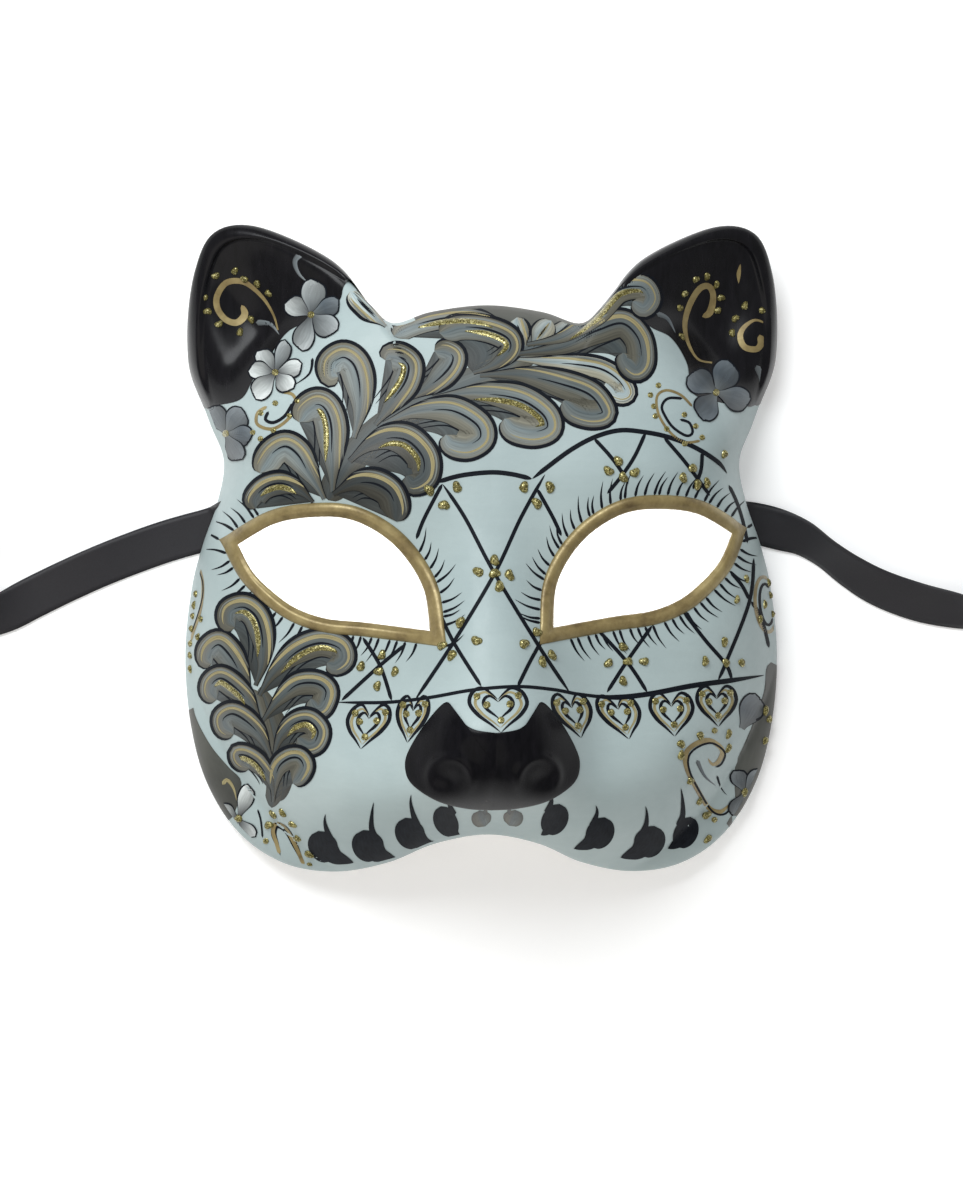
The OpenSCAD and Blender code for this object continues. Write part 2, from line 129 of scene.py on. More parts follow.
FLIP = np.array([-1, 1, 1, 1])
RIM_ENDS = np.concatenate([[RIM[1] * FLIP], RIM, [RIM[-2] * FLIP]])
RIM_SPANS = len(RIM) - 1


def rim_at(u):
    edge = along(RIM_ENDS, np.asarray(u, float) + 1)
    edge[..., 2] = np.maximum(edge[..., 2], 0)
    return edge


RIM_TABLE = rim_at(np.linspace(0, RIM_SPANS, 2401))
BEARING = np.arctan2(RIM_TABLE[:, 0], RIM_TABLE[:, 1])
RADIUS = np.hypot(RIM_TABLE[:, 0], RIM_TABLE[:, 1])


def bell(x, y, cx, cy, wx, wy, high):
    return high * np.exp(-((x - cx) / wx) ** 2 - ((y - cy) / wy) ** 2)


def step_up(a, b, value):
    f = np.clip((value - a) / (b - a), 0, 1)
    return f * f * (3 - 2 * f)


def face(x, y):
    """The head's dome, the ridge of the nose, and what swells or sinks round them; x is not negative."""
    dome = 8 + 50 * np.sqrt(np.maximum(0.02, 1 - (x / 99) ** 2 - ((y - 5) / 120) ** 2))
    u = (RIDGE_TOP - y) / RIDGE_STEP
    wide = 13 + 12 * step_up(10, -58, y)
    ridge = np.where(u < 0, 0, along(RIDGE, np.clip(u, 0, len(RIDGE) - 1))) * np.exp(-(x / wide) ** 2.4)
    pad = 8 * np.exp(-(x / 25) ** 4 - ((y + 63) / 17) ** 4)
    swells = (bell(x, y, 37, -78, 27, 22, 13) + bell(x, y, 66, -60, 22, 26, 5) + bell(x, y, 44, 24, 26, 13, 4)
              - bell(x, y, 46, -8, 24, 13, 5) - bell(x, y, 14, -70, 4.5, 3.5, 2.5)
              - bell(x, y, 0, -80, 2.5, 8, 1.5))
    return dome + ridge + pad + swells


def ear(x, y):
    """A leaning plane with a hollow in it."""
    dx, dy = x - EAR_MIDDLE[0], y - EAR_MIDDLE[1]
    lengthwise, across = 0.5 * dx + 0.87 * dy, 0.87 * dx - 0.5 * dy
    hollow = EAR_CUP * np.exp(-(lengthwise / EAR_HALF[0]) ** 2 - (across / EAR_HALF[1]) ** 2)
    return 37 - 0.3 * x + 0.14 * y - hollow


def height(x, y):
    """Height of the outside of the mask over any point."""
    x = np.abs(x)
    e = step_up(-13, 12, x * EAR_NORMAL[0] + y * EAR_NORMAL[1] - EAR_LINE)
    form = face(x, y) * (1 - e) + ear(x, y) * e
    bearing = np.arctan2(x, y)
    t = np.minimum(1, np.hypot(x, y) / np.interp(bearing, BEARING, RADIUS))
    foot = np.interp(bearing, BEARING, RIM_TABLE[:, 2])
    roll = np.interp(bearing, BEARING, RIM_TABLE[:, 3])
    return foot + (form - foot) * np.sqrt(np.maximum(0, 1 - t ** roll))


def normal(x, y, step=0.3):
    dx = (height(x + step, y) - height(x - step, y)) / (2 * step)
    dy = (height(x, y + step) - height(x, y - step)) / (2 * step)
    n = np.stack([-dx, -dy, np.ones_like(dx)], axis=-1)
    return n / np.linalg.norm(n, axis=-1, keepdims=True)


def on_face(x, y, lift=0.0):
    """The point of the face over x and y, raised square to it."""
    x, y = np.asarray(x, float), np.asarray(y, float)
    lift = np.asarray(lift, float)
    return np.stack([x, y, height(x, y)], axis=-1) + lift[..., None] * normal(x, y)


def seen(spots, lift=0.0):
    """The points of the face that the camera sees at spots of its own plane."""
    spots = np.asarray(spots, float)
    x = spots[..., 0] / math.cos(YAW)
    y = spots[..., 1]
    for _ in range(SEEN_STEPS):
        x = 0.5 * x + 0.5 * (spots[..., 0] - height(x, y) * math.sin(YAW)) / math.cos(YAW)
    far = np.hypot(x, y) / np.interp(np.arctan2(np.abs(x), y), BEARING, RADIUS)
    pull = np.minimum(1, RIM_MARGIN / np.maximum(far, 0.1))
    return on_face(x * pull, y * pull, lift)


# ---------------------------------------------------------------- meshes

def grid_faces(rows, across, shut=False, start=0):
    """Quads of a grid of points, in rows that may be closed into rings."""
    j, i = np.meshgrid(np.arange(rows - 1), np.arange(across if shut else across - 1), indexing="ij")
    a = start + j * across + i
    b = start + j * across + (i + 1) % across
    return np.stack([a, b, b + across, a + across], axis=-1).reshape(-1, 4)


def brush_grid(shape, run=0.0, side=0.0, tone=0.0):
    """Brush values for a grid of points: along, across and tone."""
    brush = np.zeros((*shape, 4))
    brush[..., 0] = run
    brush[..., 1] = side
    brush[..., 2] = tone
    return brush


def turn_outward(mesh):
    """Turns the faces of a closed mesh to look out of it."""
    work = bmesh.new()
    work.from_mesh(mesh)
    bmesh.ops.recalc_face_normals(work, faces=work.faces)
    work.to_mesh(mesh)
    work.free()


class Sheet:
    """Collects grids of points into one mesh, each with a brush value: along, across and tone."""

    def __init__(self):
        self.points, self.faces, self.brush, self.count = [], [], [], 0

    def add(self, points, faces, brush=None):
        points = np.asarray(points, float).reshape(-1, 3)
        if brush is None:
            brush = np.zeros((len(points), 4))
        self.points.append(points)
        self.brush.append(np.asarray(brush, float).reshape(-1, 4))
        self.faces += [[int(v) + self.count for v in f] for f in faces]
        self.count += len(points)

    def grid(self, points, brush=None, shut=False):
        rows, across = points.shape[:2]
        self.add(points, grid_faces(rows, across, shut), brush)

    def piece(self, name, slot, material, nodes=(), face_up=False):
        mesh = bpy.data.meshes.new(name)
        points = np.concatenate(self.points) * MM
        mesh.from_pydata(points.tolist(), [], self.faces)
        layer = mesh.color_attributes.new("brush", "FLOAT_COLOR", "POINT")
        layer.data.foreach_set("color", np.concatenate(self.brush).ravel())
        mesh.validate()
        piece = bpy.data.objects.new(name, mesh)
        bpy.context.collection.objects.link(piece)
        if face_up:
            turn_up(mesh)
        mesh.shade_smooth()
        mesh.materials.append(material)
        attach(piece, ROOT)
        if nodes:
            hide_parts(*nodes)
        return piece


def turn_up(mesh):
    """Turns every face of a painted patch to look out of the mask."""
    work = bmesh.new()
    work.from_mesh(mesh)
    for f in work.faces:
        f.normal_update()
        if f.normal.z < 0:
            f.normal_flip()
    work.to_mesh(mesh)
    work.free()


# ---------------------------------------------------------------- materials

THREAD_SCALE = 0.5


def new_material(name, colour, rough, metal=0.0, coat=0.0, sheen=0.0, specular=0.5):
    material = bpy.data.materials.new(name)
    material.use_nodes = True
    shader = material.node_tree.nodes["Principled BSDF"]
    shader.inputs["Base Color"].default_value = (*colour, 1)
    shader.inputs["Roughness"].default_value = rough
    shader.inputs["Metallic"].default_value = metal
    shader.inputs["Coat Weight"].default_value = coat
    shader.inputs["Coat Roughness"].default_value = 0.12
    shader.inputs["Sheen Weight"].default_value = sheen
    shader.inputs["Specular IOR Level"].default_value = specular
    return material, material.node_tree, shader


def place(tree, scale=(1, 1, 1)):
    """Object coordinates in millimetres, scaled."""
    where = tree.nodes.new("ShaderNodeTexCoord")
    mapping = tree.nodes.new("ShaderNodeMapping")
    mapping.inputs["Scale"].default_value = [s / MM for s in scale]
    tree.links.new(where.outputs["Object"], mapping.inputs["Vector"])
    return mapping.outputs["Vector"]


def noise(tree, vector, scale, detail=4.0, rough=0.55, twist=0.0):
    node = tree.nodes.new("ShaderNodeTexNoise")
    node.inputs["Scale"].default_value = scale
    node.inputs["Detail"].default_value = detail
    node.inputs["Roughness"].default_value = rough
    node.inputs["Distortion"].default_value = twist
    tree.links.new(vector, node.inputs["Vector"])
    return node.outputs["Fac"]


def ramp(tree, value, stops):
    """Colours or greys at places from 0 to 1."""
    node = tree.nodes.new("ShaderNodeValToRGB")
    bar = node.color_ramp
    while len(bar.elements) < len(stops):
        bar.elements.new(0.5)
    for element, (spot, colour) in zip(bar.elements, stops):
        element.position = spot
        element.color = (*colour, 1) if isinstance(colour, tuple) else (colour, colour, colour, 1)
    tree.links.new(value, node.inputs["Fac"])
    return node.outputs["Color"]


def blend(tree, share, first, second, kind="MIX"):
    """Mixes two colours; a number, a colour or a link may stand for each input."""
    node = tree.nodes.new("ShaderNodeMix")
    node.data_type = "RGBA"
    node.blend_type = kind
    for socket, value in zip((node.inputs[0], node.inputs[6], node.inputs[7]), (share, first, second)):
        if isinstance(value, (float, int)):
            socket.default_value = value
        elif isinstance(value, tuple):
            socket.default_value = (*value, 1)
        else:
            tree.links.new(value, socket)
    return node.outputs[2]


def bump(tree, shader, value, deep, reach=0.0002):
    node = tree.nodes.new("ShaderNodeBump")
    node.inputs["Strength"].default_value = deep
    node.inputs["Distance"].default_value = reach
    tree.links.new(value, node.inputs["Height"])
    tree.links.new(node.outputs["Normal"], shader.inputs["Normal"])


def brush_values(tree):
    """Along, across and tone of a painted stroke."""
    read = tree.nodes.new("ShaderNodeAttribute")
    read.attribute_name = "brush"
    split = tree.nodes.new("ShaderNodeSeparateColor")
    tree.links.new(read.outputs["Color"], split.inputs["Color"])
    return split.outputs["Red"], split.outputs["Green"], split.outputs["Blue"]


def join_values(tree, x, y, z=0.0):
    node = tree.nodes.new("ShaderNodeCombineXYZ")
    for socket, value in zip(node.inputs, (x, y, z)):
        if isinstance(value, (float, int)):
            socket.default_value = value
        else:
            tree.links.new(value, socket)
    return node.outputs["Vector"]


def brush_hair(tree, values, scale):
    """Noise that is stretched along the brush's way."""
    mapping = tree.nodes.new("ShaderNodeMapping")
    mapping.inputs["Scale"].default_value = scale
    tree.links.new(join_values(tree, *values), mapping.inputs["Vector"])
    return noise(tree, mapping.outputs["Vector"], 1.0, 4, 0.6, 0.2)


def shell_material():
    """Satin pale blue-white paint, brushed on papier-mache, a little greyer in soft patches."""
    material, tree, shader = new_material("shell_paint", (0.62, 0.72, 0.71), 0.5, coat=0.05, specular=0.35)
    where = place(tree)
    soft = noise(tree, where, 0.022, 3, 0.5)
    base = ramp(tree, soft, [(0.30, (0.325, 0.40, 0.405)), (0.50, (0.37, 0.45, 0.452)),
                             (0.72, (0.415, 0.495, 0.495))])
    streak = noise(tree, place(tree, (0.12, 0.45, 0.3)), 1.0, 5, 0.6, 0.8)
    streaks = ramp(tree, streak, [(0.35, 0.93), (0.65, 1.0)])
    colour = blend(tree, 0.4, base, streaks, "MULTIPLY")
    tree.links.new(colour, shader.inputs["Base Color"])
    grain = noise(tree, where, 0.35, 6, 0.62)
    bump(tree, shader, grain, 0.22, 0.0004)
    tree.links.new(ramp(tree, grain, [(0.3, 0.46), (0.7, 0.6)]), shader.inputs["Roughness"])
    return material


def lining_material():
    """Bare papier-mache on the inside: torn grey-cream paper under a thin wash."""
    material, tree, shader = new_material("raw_paper", (0.42, 0.38, 0.32), 0.85)
    where = place(tree)
    cells = tree.nodes.new("ShaderNodeTexVoronoi")
    cells.inputs["Scale"].default_value = 0.07
    tree.links.new(where, cells.inputs["Vector"])
    scraps = ramp(tree, cells.outputs["Distance"], [(0.1, (0.46, 0.42, 0.36)), (0.8, (0.34, 0.31, 0.27))])
    fibre = noise(tree, where, 0.5, 8, 0.7)
    tree.links.new(blend(tree, 0.5, scraps, ramp(tree, fibre, [(0.3, 0.7), (0.7, 1.0)]), "MULTIPLY"),
                   shader.inputs["Base Color"])
    bump(tree, shader, fibre, 0.5, 0.0006)
    return material


def lacquer_material(name, coat, specular):
    """Glossy black lacquer with faint brush marks."""
    material, tree, shader = new_material(name, (0.008, 0.008, 0.010), 0.22, coat=coat, specular=specular)
    where = place(tree)
    marks = noise(tree, place(tree, (0.5, 0.12, 0.3)), 1.0, 5, 0.6, 0.4)
    tree.links.new(ramp(tree, marks, [(0.35, (0.0035, 0.0035, 0.0045)), (0.75, (0.0075, 0.007, 0.009))]),
                   shader.inputs["Base Color"])
    tree.links.new(ramp(tree, marks, [(0.3, 0.22), (0.7, 0.28)]), shader.inputs["Roughness"])
    bump(tree, shader, noise(tree, where, 0.12, 3, 0.5), 0.1, 0.0005)
    return material


def gilt_material():
    """Rubbed gilt paint: warm gold, darker where the brown ground shows through."""
    material, tree, shader = new_material("gilt", (0.36, 0.25, 0.09), 0.4, metal=0.3)
    where = place(tree)
    worn = noise(tree, where, 0.12, 6, 0.65)
    colour = ramp(tree, worn, [(0.28, (0.115, 0.08, 0.03)), (0.45, (0.22, 0.165, 0.066)),
                               (0.62, (0.30, 0.235, 0.10)), (0.85, (0.40, 0.33, 0.16))])
    tree.links.new(colour, shader.inputs["Base Color"])
    grain = noise(tree, where, 0.9, 5, 0.6)
    tree.links.new(ramp(tree, grain, [(0.3, 0.30), (0.7, 0.50)]), shader.inputs["Roughness"])
    bump(tree, shader, grain, 0.25, 0.0002)
    return material


def glitter_material():
    """Gold glitter in clear relief: each flake has its own tilt and brightness."""
    material, tree, shader = new_material("glitter", (0.45, 0.35, 0.08), 0.3, metal=0.6, coat=0.15)
    where = place(tree)
    flakes = tree.nodes.new("ShaderNodeTexVoronoi")
    flakes.inputs["Scale"].default_value = 3.4
    tree.links.new(where, flakes.inputs["Vector"])
    split = tree.nodes.new("ShaderNodeSeparateColor")
    tree.links.new(flakes.outputs["Color"], split.inputs["Color"])
    colour = ramp(tree, split.outputs["Red"], [(0.0, (0.06, 0.05, 0.012)), (0.45, (0.17, 0.145, 0.04)),
                                               (0.8, (0.31, 0.275, 0.09)), (1.0, (0.68, 0.63, 0.33))])
    tree.links.new(colour, shader.inputs["Base Color"])
    tree.links.new(ramp(tree, split.outputs["Green"], [(0.0, 0.15), (1.0, 0.5)]), shader.inputs["Roughness"])
    bump(tree, shader, split.outputs["Blue"], 0.8, 0.0003)
    return material


def leaf_material():
    """Leaf paint, blended wet: taupe at the edges, blue-grey within, streaked along the brush's way."""
    material, tree, shader = new_material("leaf_paint", (0.2, 0.2, 0.2), 0.42, specular=0.25)
    run, side, tone = brush_values(tree)
    streak = noise(tree, join_values(tree, run, side, tone), 1.0, 2)
    hair = brush_hair(tree, (run, side, tone), (2.5, 14.0, 40.0))
    across = ramp(tree, side, [(0.0, (0.085, 0.082, 0.062)), (0.28, (0.135, 0.132, 0.104)),
                               (0.5, (0.108, 0.135, 0.142)), (0.75, (0.145, 0.165, 0.16)),
                               (1.0, (0.105, 0.105, 0.088))])
    hairs = ramp(tree, hair, [(0.3, 0.62), (0.5, 0.95), (0.75, 1.35)])
    colour = blend(tree, 0.8, across, hairs, "MULTIPLY")
    stem = ramp(tree, run, [(0.0, 0.4), (0.4, 0.85), (0.75, 1.05)])
    colour = blend(tree, 0.85, colour, stem, "MULTIPLY")
    tinted = blend(tree, 1.0, colour, ramp(tree, tone, [(0.0, 0.22), (0.5, 0.9), (1.0, 3.0)]), "MULTIPLY")
    tree.links.new(tinted, shader.inputs["Base Color"])
    tree.links.new(ramp(tree, streak, [(0.3, 0.34), (0.7, 0.48)]), shader.inputs["Roughness"])
    bump(tree, shader, hair, 0.2, 0.0002)
    return material


def stroke_material(name, dark, light, rough=0.55):
    """A single-colour stroke that thins and thickens along the brush's way; tone lightens it."""
    material, tree, shader = new_material(name, dark, rough, specular=0.06)
    hair = brush_hair(tree, brush_values(tree), (4.0, 9.0, 60.0))
    tree.links.new(ramp(tree, hair, [(0.35, dark), (0.7, light)]), shader.inputs["Base Color"])
    bump(tree, shader, hair, 0.15, 0.0001)
    return material


def petal_material():
    """Petals: white at the tip, through grey, to near black at the heart."""
    material, tree, shader = new_material("petal_paint", (0.5, 0.52, 0.52), 0.42, specular=0.25)
    run, side, tone = brush_values(tree)
    hair = brush_hair(tree, (run, side, tone), (1.6, 10.0, 40.0))
    white = ramp(tree, run, [(0.0, (0.05, 0.05, 0.055)), (0.25, (0.26, 0.28, 0.28)),
                             (0.55, (0.54, 0.58, 0.57)), (1.0, (0.66, 0.70, 0.69))])
    blue = ramp(tree, run, [(0.0, (0.13, 0.15, 0.155)), (0.5, (0.066, 0.086, 0.104)),
                            (1.0, (0.125, 0.148, 0.165))])
    colour = blend(tree, tone, white, blue)
    loaded = ramp(tree, side, [(0.0, 0.3), (0.35, 0.72), (0.7, 1.0), (1.0, 1.1)])
    colour = blend(tree, 0.8, colour, loaded, "MULTIPLY")
    hairs = ramp(tree, hair, [(0.3, 0.7), (0.6, 1.0), (0.8, 1.2)])
    tree.links.new(blend(tree, 0.8, colour, hairs, "MULTIPLY"), shader.inputs["Base Color"])
    return material


def satin_material():
    """Black satin ribbon: fine ribs across its width and a soft sheen."""
    material, tree, shader = new_material("ribbon_satin", (0.018, 0.017, 0.020), 0.45, sheen=0.06,
                                          specular=0.3)
    run, side, _ = brush_values(tree)
    mapping = tree.nodes.new("ShaderNodeMapping")
    mapping.inputs["Scale"].default_value = (450.0, 1.0, 1.0)
    tree.links.new(join_values(tree, run, side), mapping.inputs["Vector"])
    rib = tree.nodes.new("ShaderNodeTexWave")
    rib.inputs["Scale"].default_value = 1.0
    rib.inputs["Distortion"].default_value = 0.6
    tree.links.new(mapping.outputs["Vector"], rib.inputs["Vector"])
    thread = noise(tree, place(tree), 2.6, 3, 0.6)
    colour = blend(tree, 0.35, (0.015, 0.014, 0.017), (0.05, 0.048, 0.055))
    shades = blend(tree, rib.outputs["Fac"], (0.011, 0.0105, 0.013), colour)
    tree.links.new(blend(tree, 0.5, shades, ramp(tree, thread, [(0.3, 0.6), (0.7, 1.0)]), "MULTIPLY"),
                   shader.inputs["Base Color"])
    bump(tree, shader, rib.outputs["Fac"], 0.25, 0.0001)
    return material


def cloth_material():
    """Plain-woven cotton tape, dulled with glue: threads raised both ways."""
    material, tree, shader = new_material("patch_cloth", (0.05, 0.05, 0.055), 0.85, sheen=0.1, specular=0.25)
    where = place(tree)
    threads = []
    for way in ("Y", "Z"):
        wave = tree.nodes.new("ShaderNodeTexWave")
        wave.bands_direction = way
        wave.inputs["Scale"].default_value = THREAD_SCALE
        wave.inputs["Distortion"].default_value = 0.5
        tree.links.new(where, wave.inputs["Vector"])
        threads.append(wave.outputs["Fac"])
    weave = blend(tree, 0.5, threads[0], threads[1])
    fuzz = noise(tree, where, 1.4, 5, 0.7)
    colour = ramp(tree, weave, [(0.15, (0.022, 0.022, 0.025)), (0.6, (0.075, 0.073, 0.078))])
    tree.links.new(blend(tree, 0.6, colour, ramp(tree, fuzz, [(0.3, 0.6), (0.7, 1.0)]), "MULTIPLY"),
                   shader.inputs["Base Color"])
    bump(tree, shader, weave, 0.5, 0.0002)
    return material


PAINT = shell_material()
CLOTH = cloth_material()
PAPER = lining_material()
LACQUER = lacquer_material("black_lacquer", 0.03, 0.14)
NOSE_LACQUER = lacquer_material("nose_lacquer", 0.02, 0.06)
GILT = gilt_material()
GLITTER = glitter_material()
LEAF = leaf_material()
INK = stroke_material("ink_line", (0.004, 0.005, 0.008), (0.011, 0.014, 0.019))
CREAM = stroke_material("cream_line", (0.20, 0.165, 0.075), (0.42, 0.375, 0.215))
PETAL = petal_material()
SATIN = satin_material()

# ---------------------------------------------------------------- ribbons

RIBBON_W = 13.0
RIBBON_T = 0.35
RIBBON_LONG = 450.0
ROUTE_LEFT = [
    [-78.4, 9.4, 17, 0], [-79.6, 9, 11, 0], [-80.6, 8.4, 5, 0], [-82.4, 7.4, 1.6, 0], [-86, 6.2, 0.8, 0],
    [-92, 4.6, 0.6, 0], [-100, 2.2, 0.6, 0], [-110, -1.4, 1, 4], [-120, -5.4, 1.4, 7], [-130, -9.9, 1.2, 5],
    [-140, -14.8, 1, 3], [-148, -19, 2.4, 15], [-156, -22.4, 5.2, 45], [-164, -25.2, 6.8, 80],
    [-172, -27, 6.9, 90], [-180, -28, 6.9, 90]]
ROUTE_RIGHT = [
    [78.4, 9.4, 17, 0], [79.6, 9.2, 11, 0], [80.6, 9, 5, 0], [82.4, 8.8, 1.6, 0], [86, 8.3, 0.8, 0],
    [92, 6.8, 1.9, -10], [100, 4, 4.4, -35], [107.5, -1, 5.4, -48], [116, -7, 4.8, -40], [125, -12, 3.9, -30],
    [137, -16.3, 3.4, -25], [149, -19, 4.4, -35], [156, -20.6, 6.1, -60], [164, -22.6, 6.9, -82],
    [172, -24.5, 6.9, -90], [180, -26, 6.9, -90]]
COIL_LEFT = (-186, 7)
COIL_RIGHT = (186, 9)
COIL_SHRINK = 9.0
RIBBON_ACROSS = 9


def wound(route, middle, way, spare):
    """The rest of a ribbon, wound into a loose roll on its edge; way is 1 anticlockwise and -1 clockwise."""
    end = np.array(route[-1], float)
    out = end[:2] - middle
    radius = np.hypot(*out)
    mean = radius - COIL_SHRINK / 2
    turns = spare / (2 * math.pi * mean)
    f = np.linspace(0, 1, int(turns * 60))[1:]
    angle = math.atan2(out[1], out[0]) + way * 2 * math.pi * turns * f
    r = radius - COIL_SHRINK * f
    full = np.full_like(f, end[2])
    lean = np.full_like(f, end[3])
    return np.stack([middle[0] + r * np.cos(angle), middle[1] + r * np.sin(angle), full, lean], axis=1)


def make_ribbon(name, route, middle, way, nodes):
    free = smooth(route, 1.5)
    used = np.linalg.norm(np.diff(free[:, :3], axis=0), axis=1).sum()
    line = np.concatenate([free, wound(route, middle, way, RIBBON_LONG - used)])
    ahead = np.gradient(line[:, :3], axis=0)
    ahead /= np.linalg.norm(ahead, axis=1, keepdims=True)
    level = np.cross(ahead, [0, 0, 1])
    level /= np.linalg.norm(level, axis=1, keepdims=True)
    up = np.cross(level, ahead)
    lean = np.radians(line[:, 3])[:, None]
    wide = level * np.cos(lean) + up * np.sin(lean)
    thick = up * np.cos(lean) - level * np.sin(lean)
    across = np.linspace(-1, 1, RIBBON_ACROSS)
    run = np.linspace(0, 1, len(line))
    # a slight cup across the width, with the two woven edges a touch thicker
    cup = 0.12 * (across ** 2 - 0.5)
    half = 0.5 * RIBBON_T * np.where(np.abs(across) > 0.95, 1.0, 0.7)
    rows = []
    for side in (1, -1):
        flat = line[:, None, :3] + wide[:, None] * (0.5 * RIBBON_W * across)[None, :, None]
        rows.append(flat + thick[:, None] * (cup + side * half)[None, :, None])
    ring = np.concatenate([rows[0], rows[1][:, ::-1]], axis=1)
    brush = brush_grid(ring.shape[:2], run[:, None], 0.5 + 0.5 * np.concatenate([across, across[::-1]]))
    sheet = Sheet()
    sheet.grid(ring, brush, shut=True)
    around = ring.shape[1]
    last = (len(line) - 1) * around
    sheet.faces += [list(range(around))[::-1], [last + i for i in range(around)]]
    piece = sheet.piece(name, "ribbon_satin", SATIN, nodes)


make_ribbon("satin_ribbon_left", ROUTE_LEFT, COIL_LEFT, -1, ("ribbon_left", "ribbon_coil_left"))
make_ribbon("satin_ribbon_right", ROUTE_RIGHT, COIL_RIGHT, 1, ("ribbon_right", "ribbon_coil_right"))

PATCH_LONG, PATCH_TALL, PATCH_T = 19.0, 11.0, 0.7
PATCH_PLACE = np.array([78.2, 9.2, 14.5])
PATCH_LEAN = math.radians(12)
PATCH_CORNER = 7.0


def make_patch(name, side, node):
    """A small cloth patch, glued over the ribbon's end on the inside of the temple."""
    angle = np.linspace(0, 2 * math.pi, 64, endpoint=False)
    square = np.abs(np.cos(angle)) ** PATCH_CORNER + np.abs(np.sin(angle)) ** PATCH_CORNER
    share = square ** (-1 / PATCH_CORNER)
    rings = np.array([0.02, 0.2, 0.4, 0.6, 0.75, 0.88, 0.96, 1.0])
    u = 0.5 * PATCH_LONG * rings[:, None] * (share * np.cos(angle))[None, :]
    v = 0.5 * PATCH_TALL * rings[:, None] * (share * np.sin(angle))[None, :]
    # pressed down on the shell on either side of the ribbon
    pressed = 0.6 * step_up(0.5 * RIBBON_W, 0.5 * PATCH_LONG, np.abs(u))
    thick = 0.5 * PATCH_T * np.sqrt(1 - rings ** 12)[:, None]
    tall_way = np.array([-math.sin(PATCH_LEAN), 0, math.cos(PATCH_LEAN)])
    out_way = np.array([math.cos(PATCH_LEAN), 0, math.sin(PATCH_LEAN)])
    sheet = Sheet()
    layers = []
    for half in (-1, 1):
        out = (pressed + half * thick)[..., None] * out_way
        layers.append(PATCH_PLACE + u[..., None] * np.array([0, 1, 0]) + v[..., None] * tall_way + out)
    points = np.concatenate([layers[0], layers[1][-2::-1]]) * [side, 1, 1]
    sheet.grid(points, shut=True)
    n, last = len(angle), (len(points) - 1) * len(angle)
    sheet.faces += [list(range(n))[::-1], [last + i for i in range(n)]]
    piece = sheet.piece(name, "patch_cloth", CLOTH, (node,))
    turn_outward(piece.data)


make_patch("cloth_patch_left", -1, "ribbon_patch_left")
make_patch("cloth_patch_right", 1, "ribbon_patch_right")

# ---------------------------------------------------------------- shell

SHELL_ACROSS = 480
# rings of points inside and beyond EDGE_START, on the outside and on the inside of the wall
OUTER_RINGS = (78, 30)
INNER_RINGS = (34, 14)
EDGE_START = 0.86
MEAN_ROLL = 12
FIRST_T = 0.004
CUTTER_LOW = 2.0
CUTTER_HIGH = 95.0


def ring_places(inner, edge):
    """Fractions of the rim's radius, closer together where the face rolls over."""
    start = math.acos(math.sqrt(1 - EDGE_START ** MEAN_ROLL))
    turn = np.linspace(start, math.pi / 2, edge + 1)
    t = (1 - np.cos(turn) ** 2) ** (1 / MEAN_ROLL)
    t[-1] = 1
    return np.concatenate([np.linspace(FIRST_T, EDGE_START, inner, endpoint=False), t])


def rim_round(count):
    """Points of the whole rim, evenly spaced, from the forehead round past the right cheek."""
    half = RIM_TABLE
    whole = np.concatenate([half, half[-2:0:-1] * FLIP])
    shut = np.concatenate([whole, whole[:1]])
    run = np.concatenate([[0], np.cumsum(np.linalg.norm(np.diff(shut[:, :2], axis=0), axis=1))])
    at = np.linspace(0, run[-1], count, endpoint=False)
    return np.stack([np.interp(at, run, shut[:, k]) for k in range(3)], axis=1)


def shell_rings(places):
    edge = rim_round(SHELL_ACROSS)
    x = places[:, None] * edge[None, :, 0]
    y = places[:, None] * edge[None, :, 1]
    points = np.stack([x, y, height(x, y)], axis=-1)
    points[-1, :, 2] = edge[:, 2]
    return points


def ring_normals(points):
    """Normals of a closed grid, level at the rim."""
    round_ = np.roll(points, -1, axis=1) - np.roll(points, 1, axis=1)
    out = np.gradient(points, axis=0)
    n = np.cross(round_, out)
    n[-1, :, 2] = 0
    return n / np.linalg.norm(n, axis=-1, keepdims=True)


def eye_edge(side, steps=60):
    """The edge of one eye opening, seen from the front; side is 1 at +X and -1 at -X."""
    def lid(points):
        fine = smooth(points, 0.2)
        return fine[np.linspace(0, len(fine) - 1, steps + 1).astype(int)][:-1]
    edge = np.concatenate([lid(UPPER_LID), lid(LOWER_LID)])
    if side > 0:
        d = edge - UPPER_LID[0]
        turn = np.array([[math.cos(EYE_TURN), math.sin(EYE_TURN)], [-math.sin(EYE_TURN), math.cos(EYE_TURN)]])
        return UPPER_LID[0] + d @ turn + [0, EYE_LIFT]
    return (edge * [-1, 1])[::-1]


def outward(edge, far):
    """A closed edge, clockwise from the front, pushed out by far."""
    a = edge - np.roll(edge, 1, axis=0)
    b = np.roll(edge, -1, axis=0) - edge
    a /= np.linalg.norm(a, axis=1, keepdims=True)
    b /= np.linalg.norm(b, axis=1, keepdims=True)
    m = a + b
    m /= np.linalg.norm(m, axis=1, keepdims=True)
    corner = np.maximum(0.6, (m * a).sum(axis=1, keepdims=True))
    return edge + far / corner * np.stack([-m[:, 1], m[:, 0]], axis=1)


def eye_cutter(side):
    edge = outward(eye_edge(side), HOLE_GROW)
    count = len(edge)
    low = np.column_stack([edge, np.full(count, CUTTER_LOW)])
    high = np.column_stack([edge, np.full(count, CUTTER_HIGH)])
    mesh = bpy.data.meshes.new("cutter")
    sides = grid_faces(2, count, True).tolist()
    mesh.from_pydata((np.concatenate([low, high]) * MM).tolist(), [],
                     sides + [list(range(count))[::-1], [count + i for i in range(count)]])
    turn_outward(mesh)
    return bpy.data.objects.new("cutter", mesh)


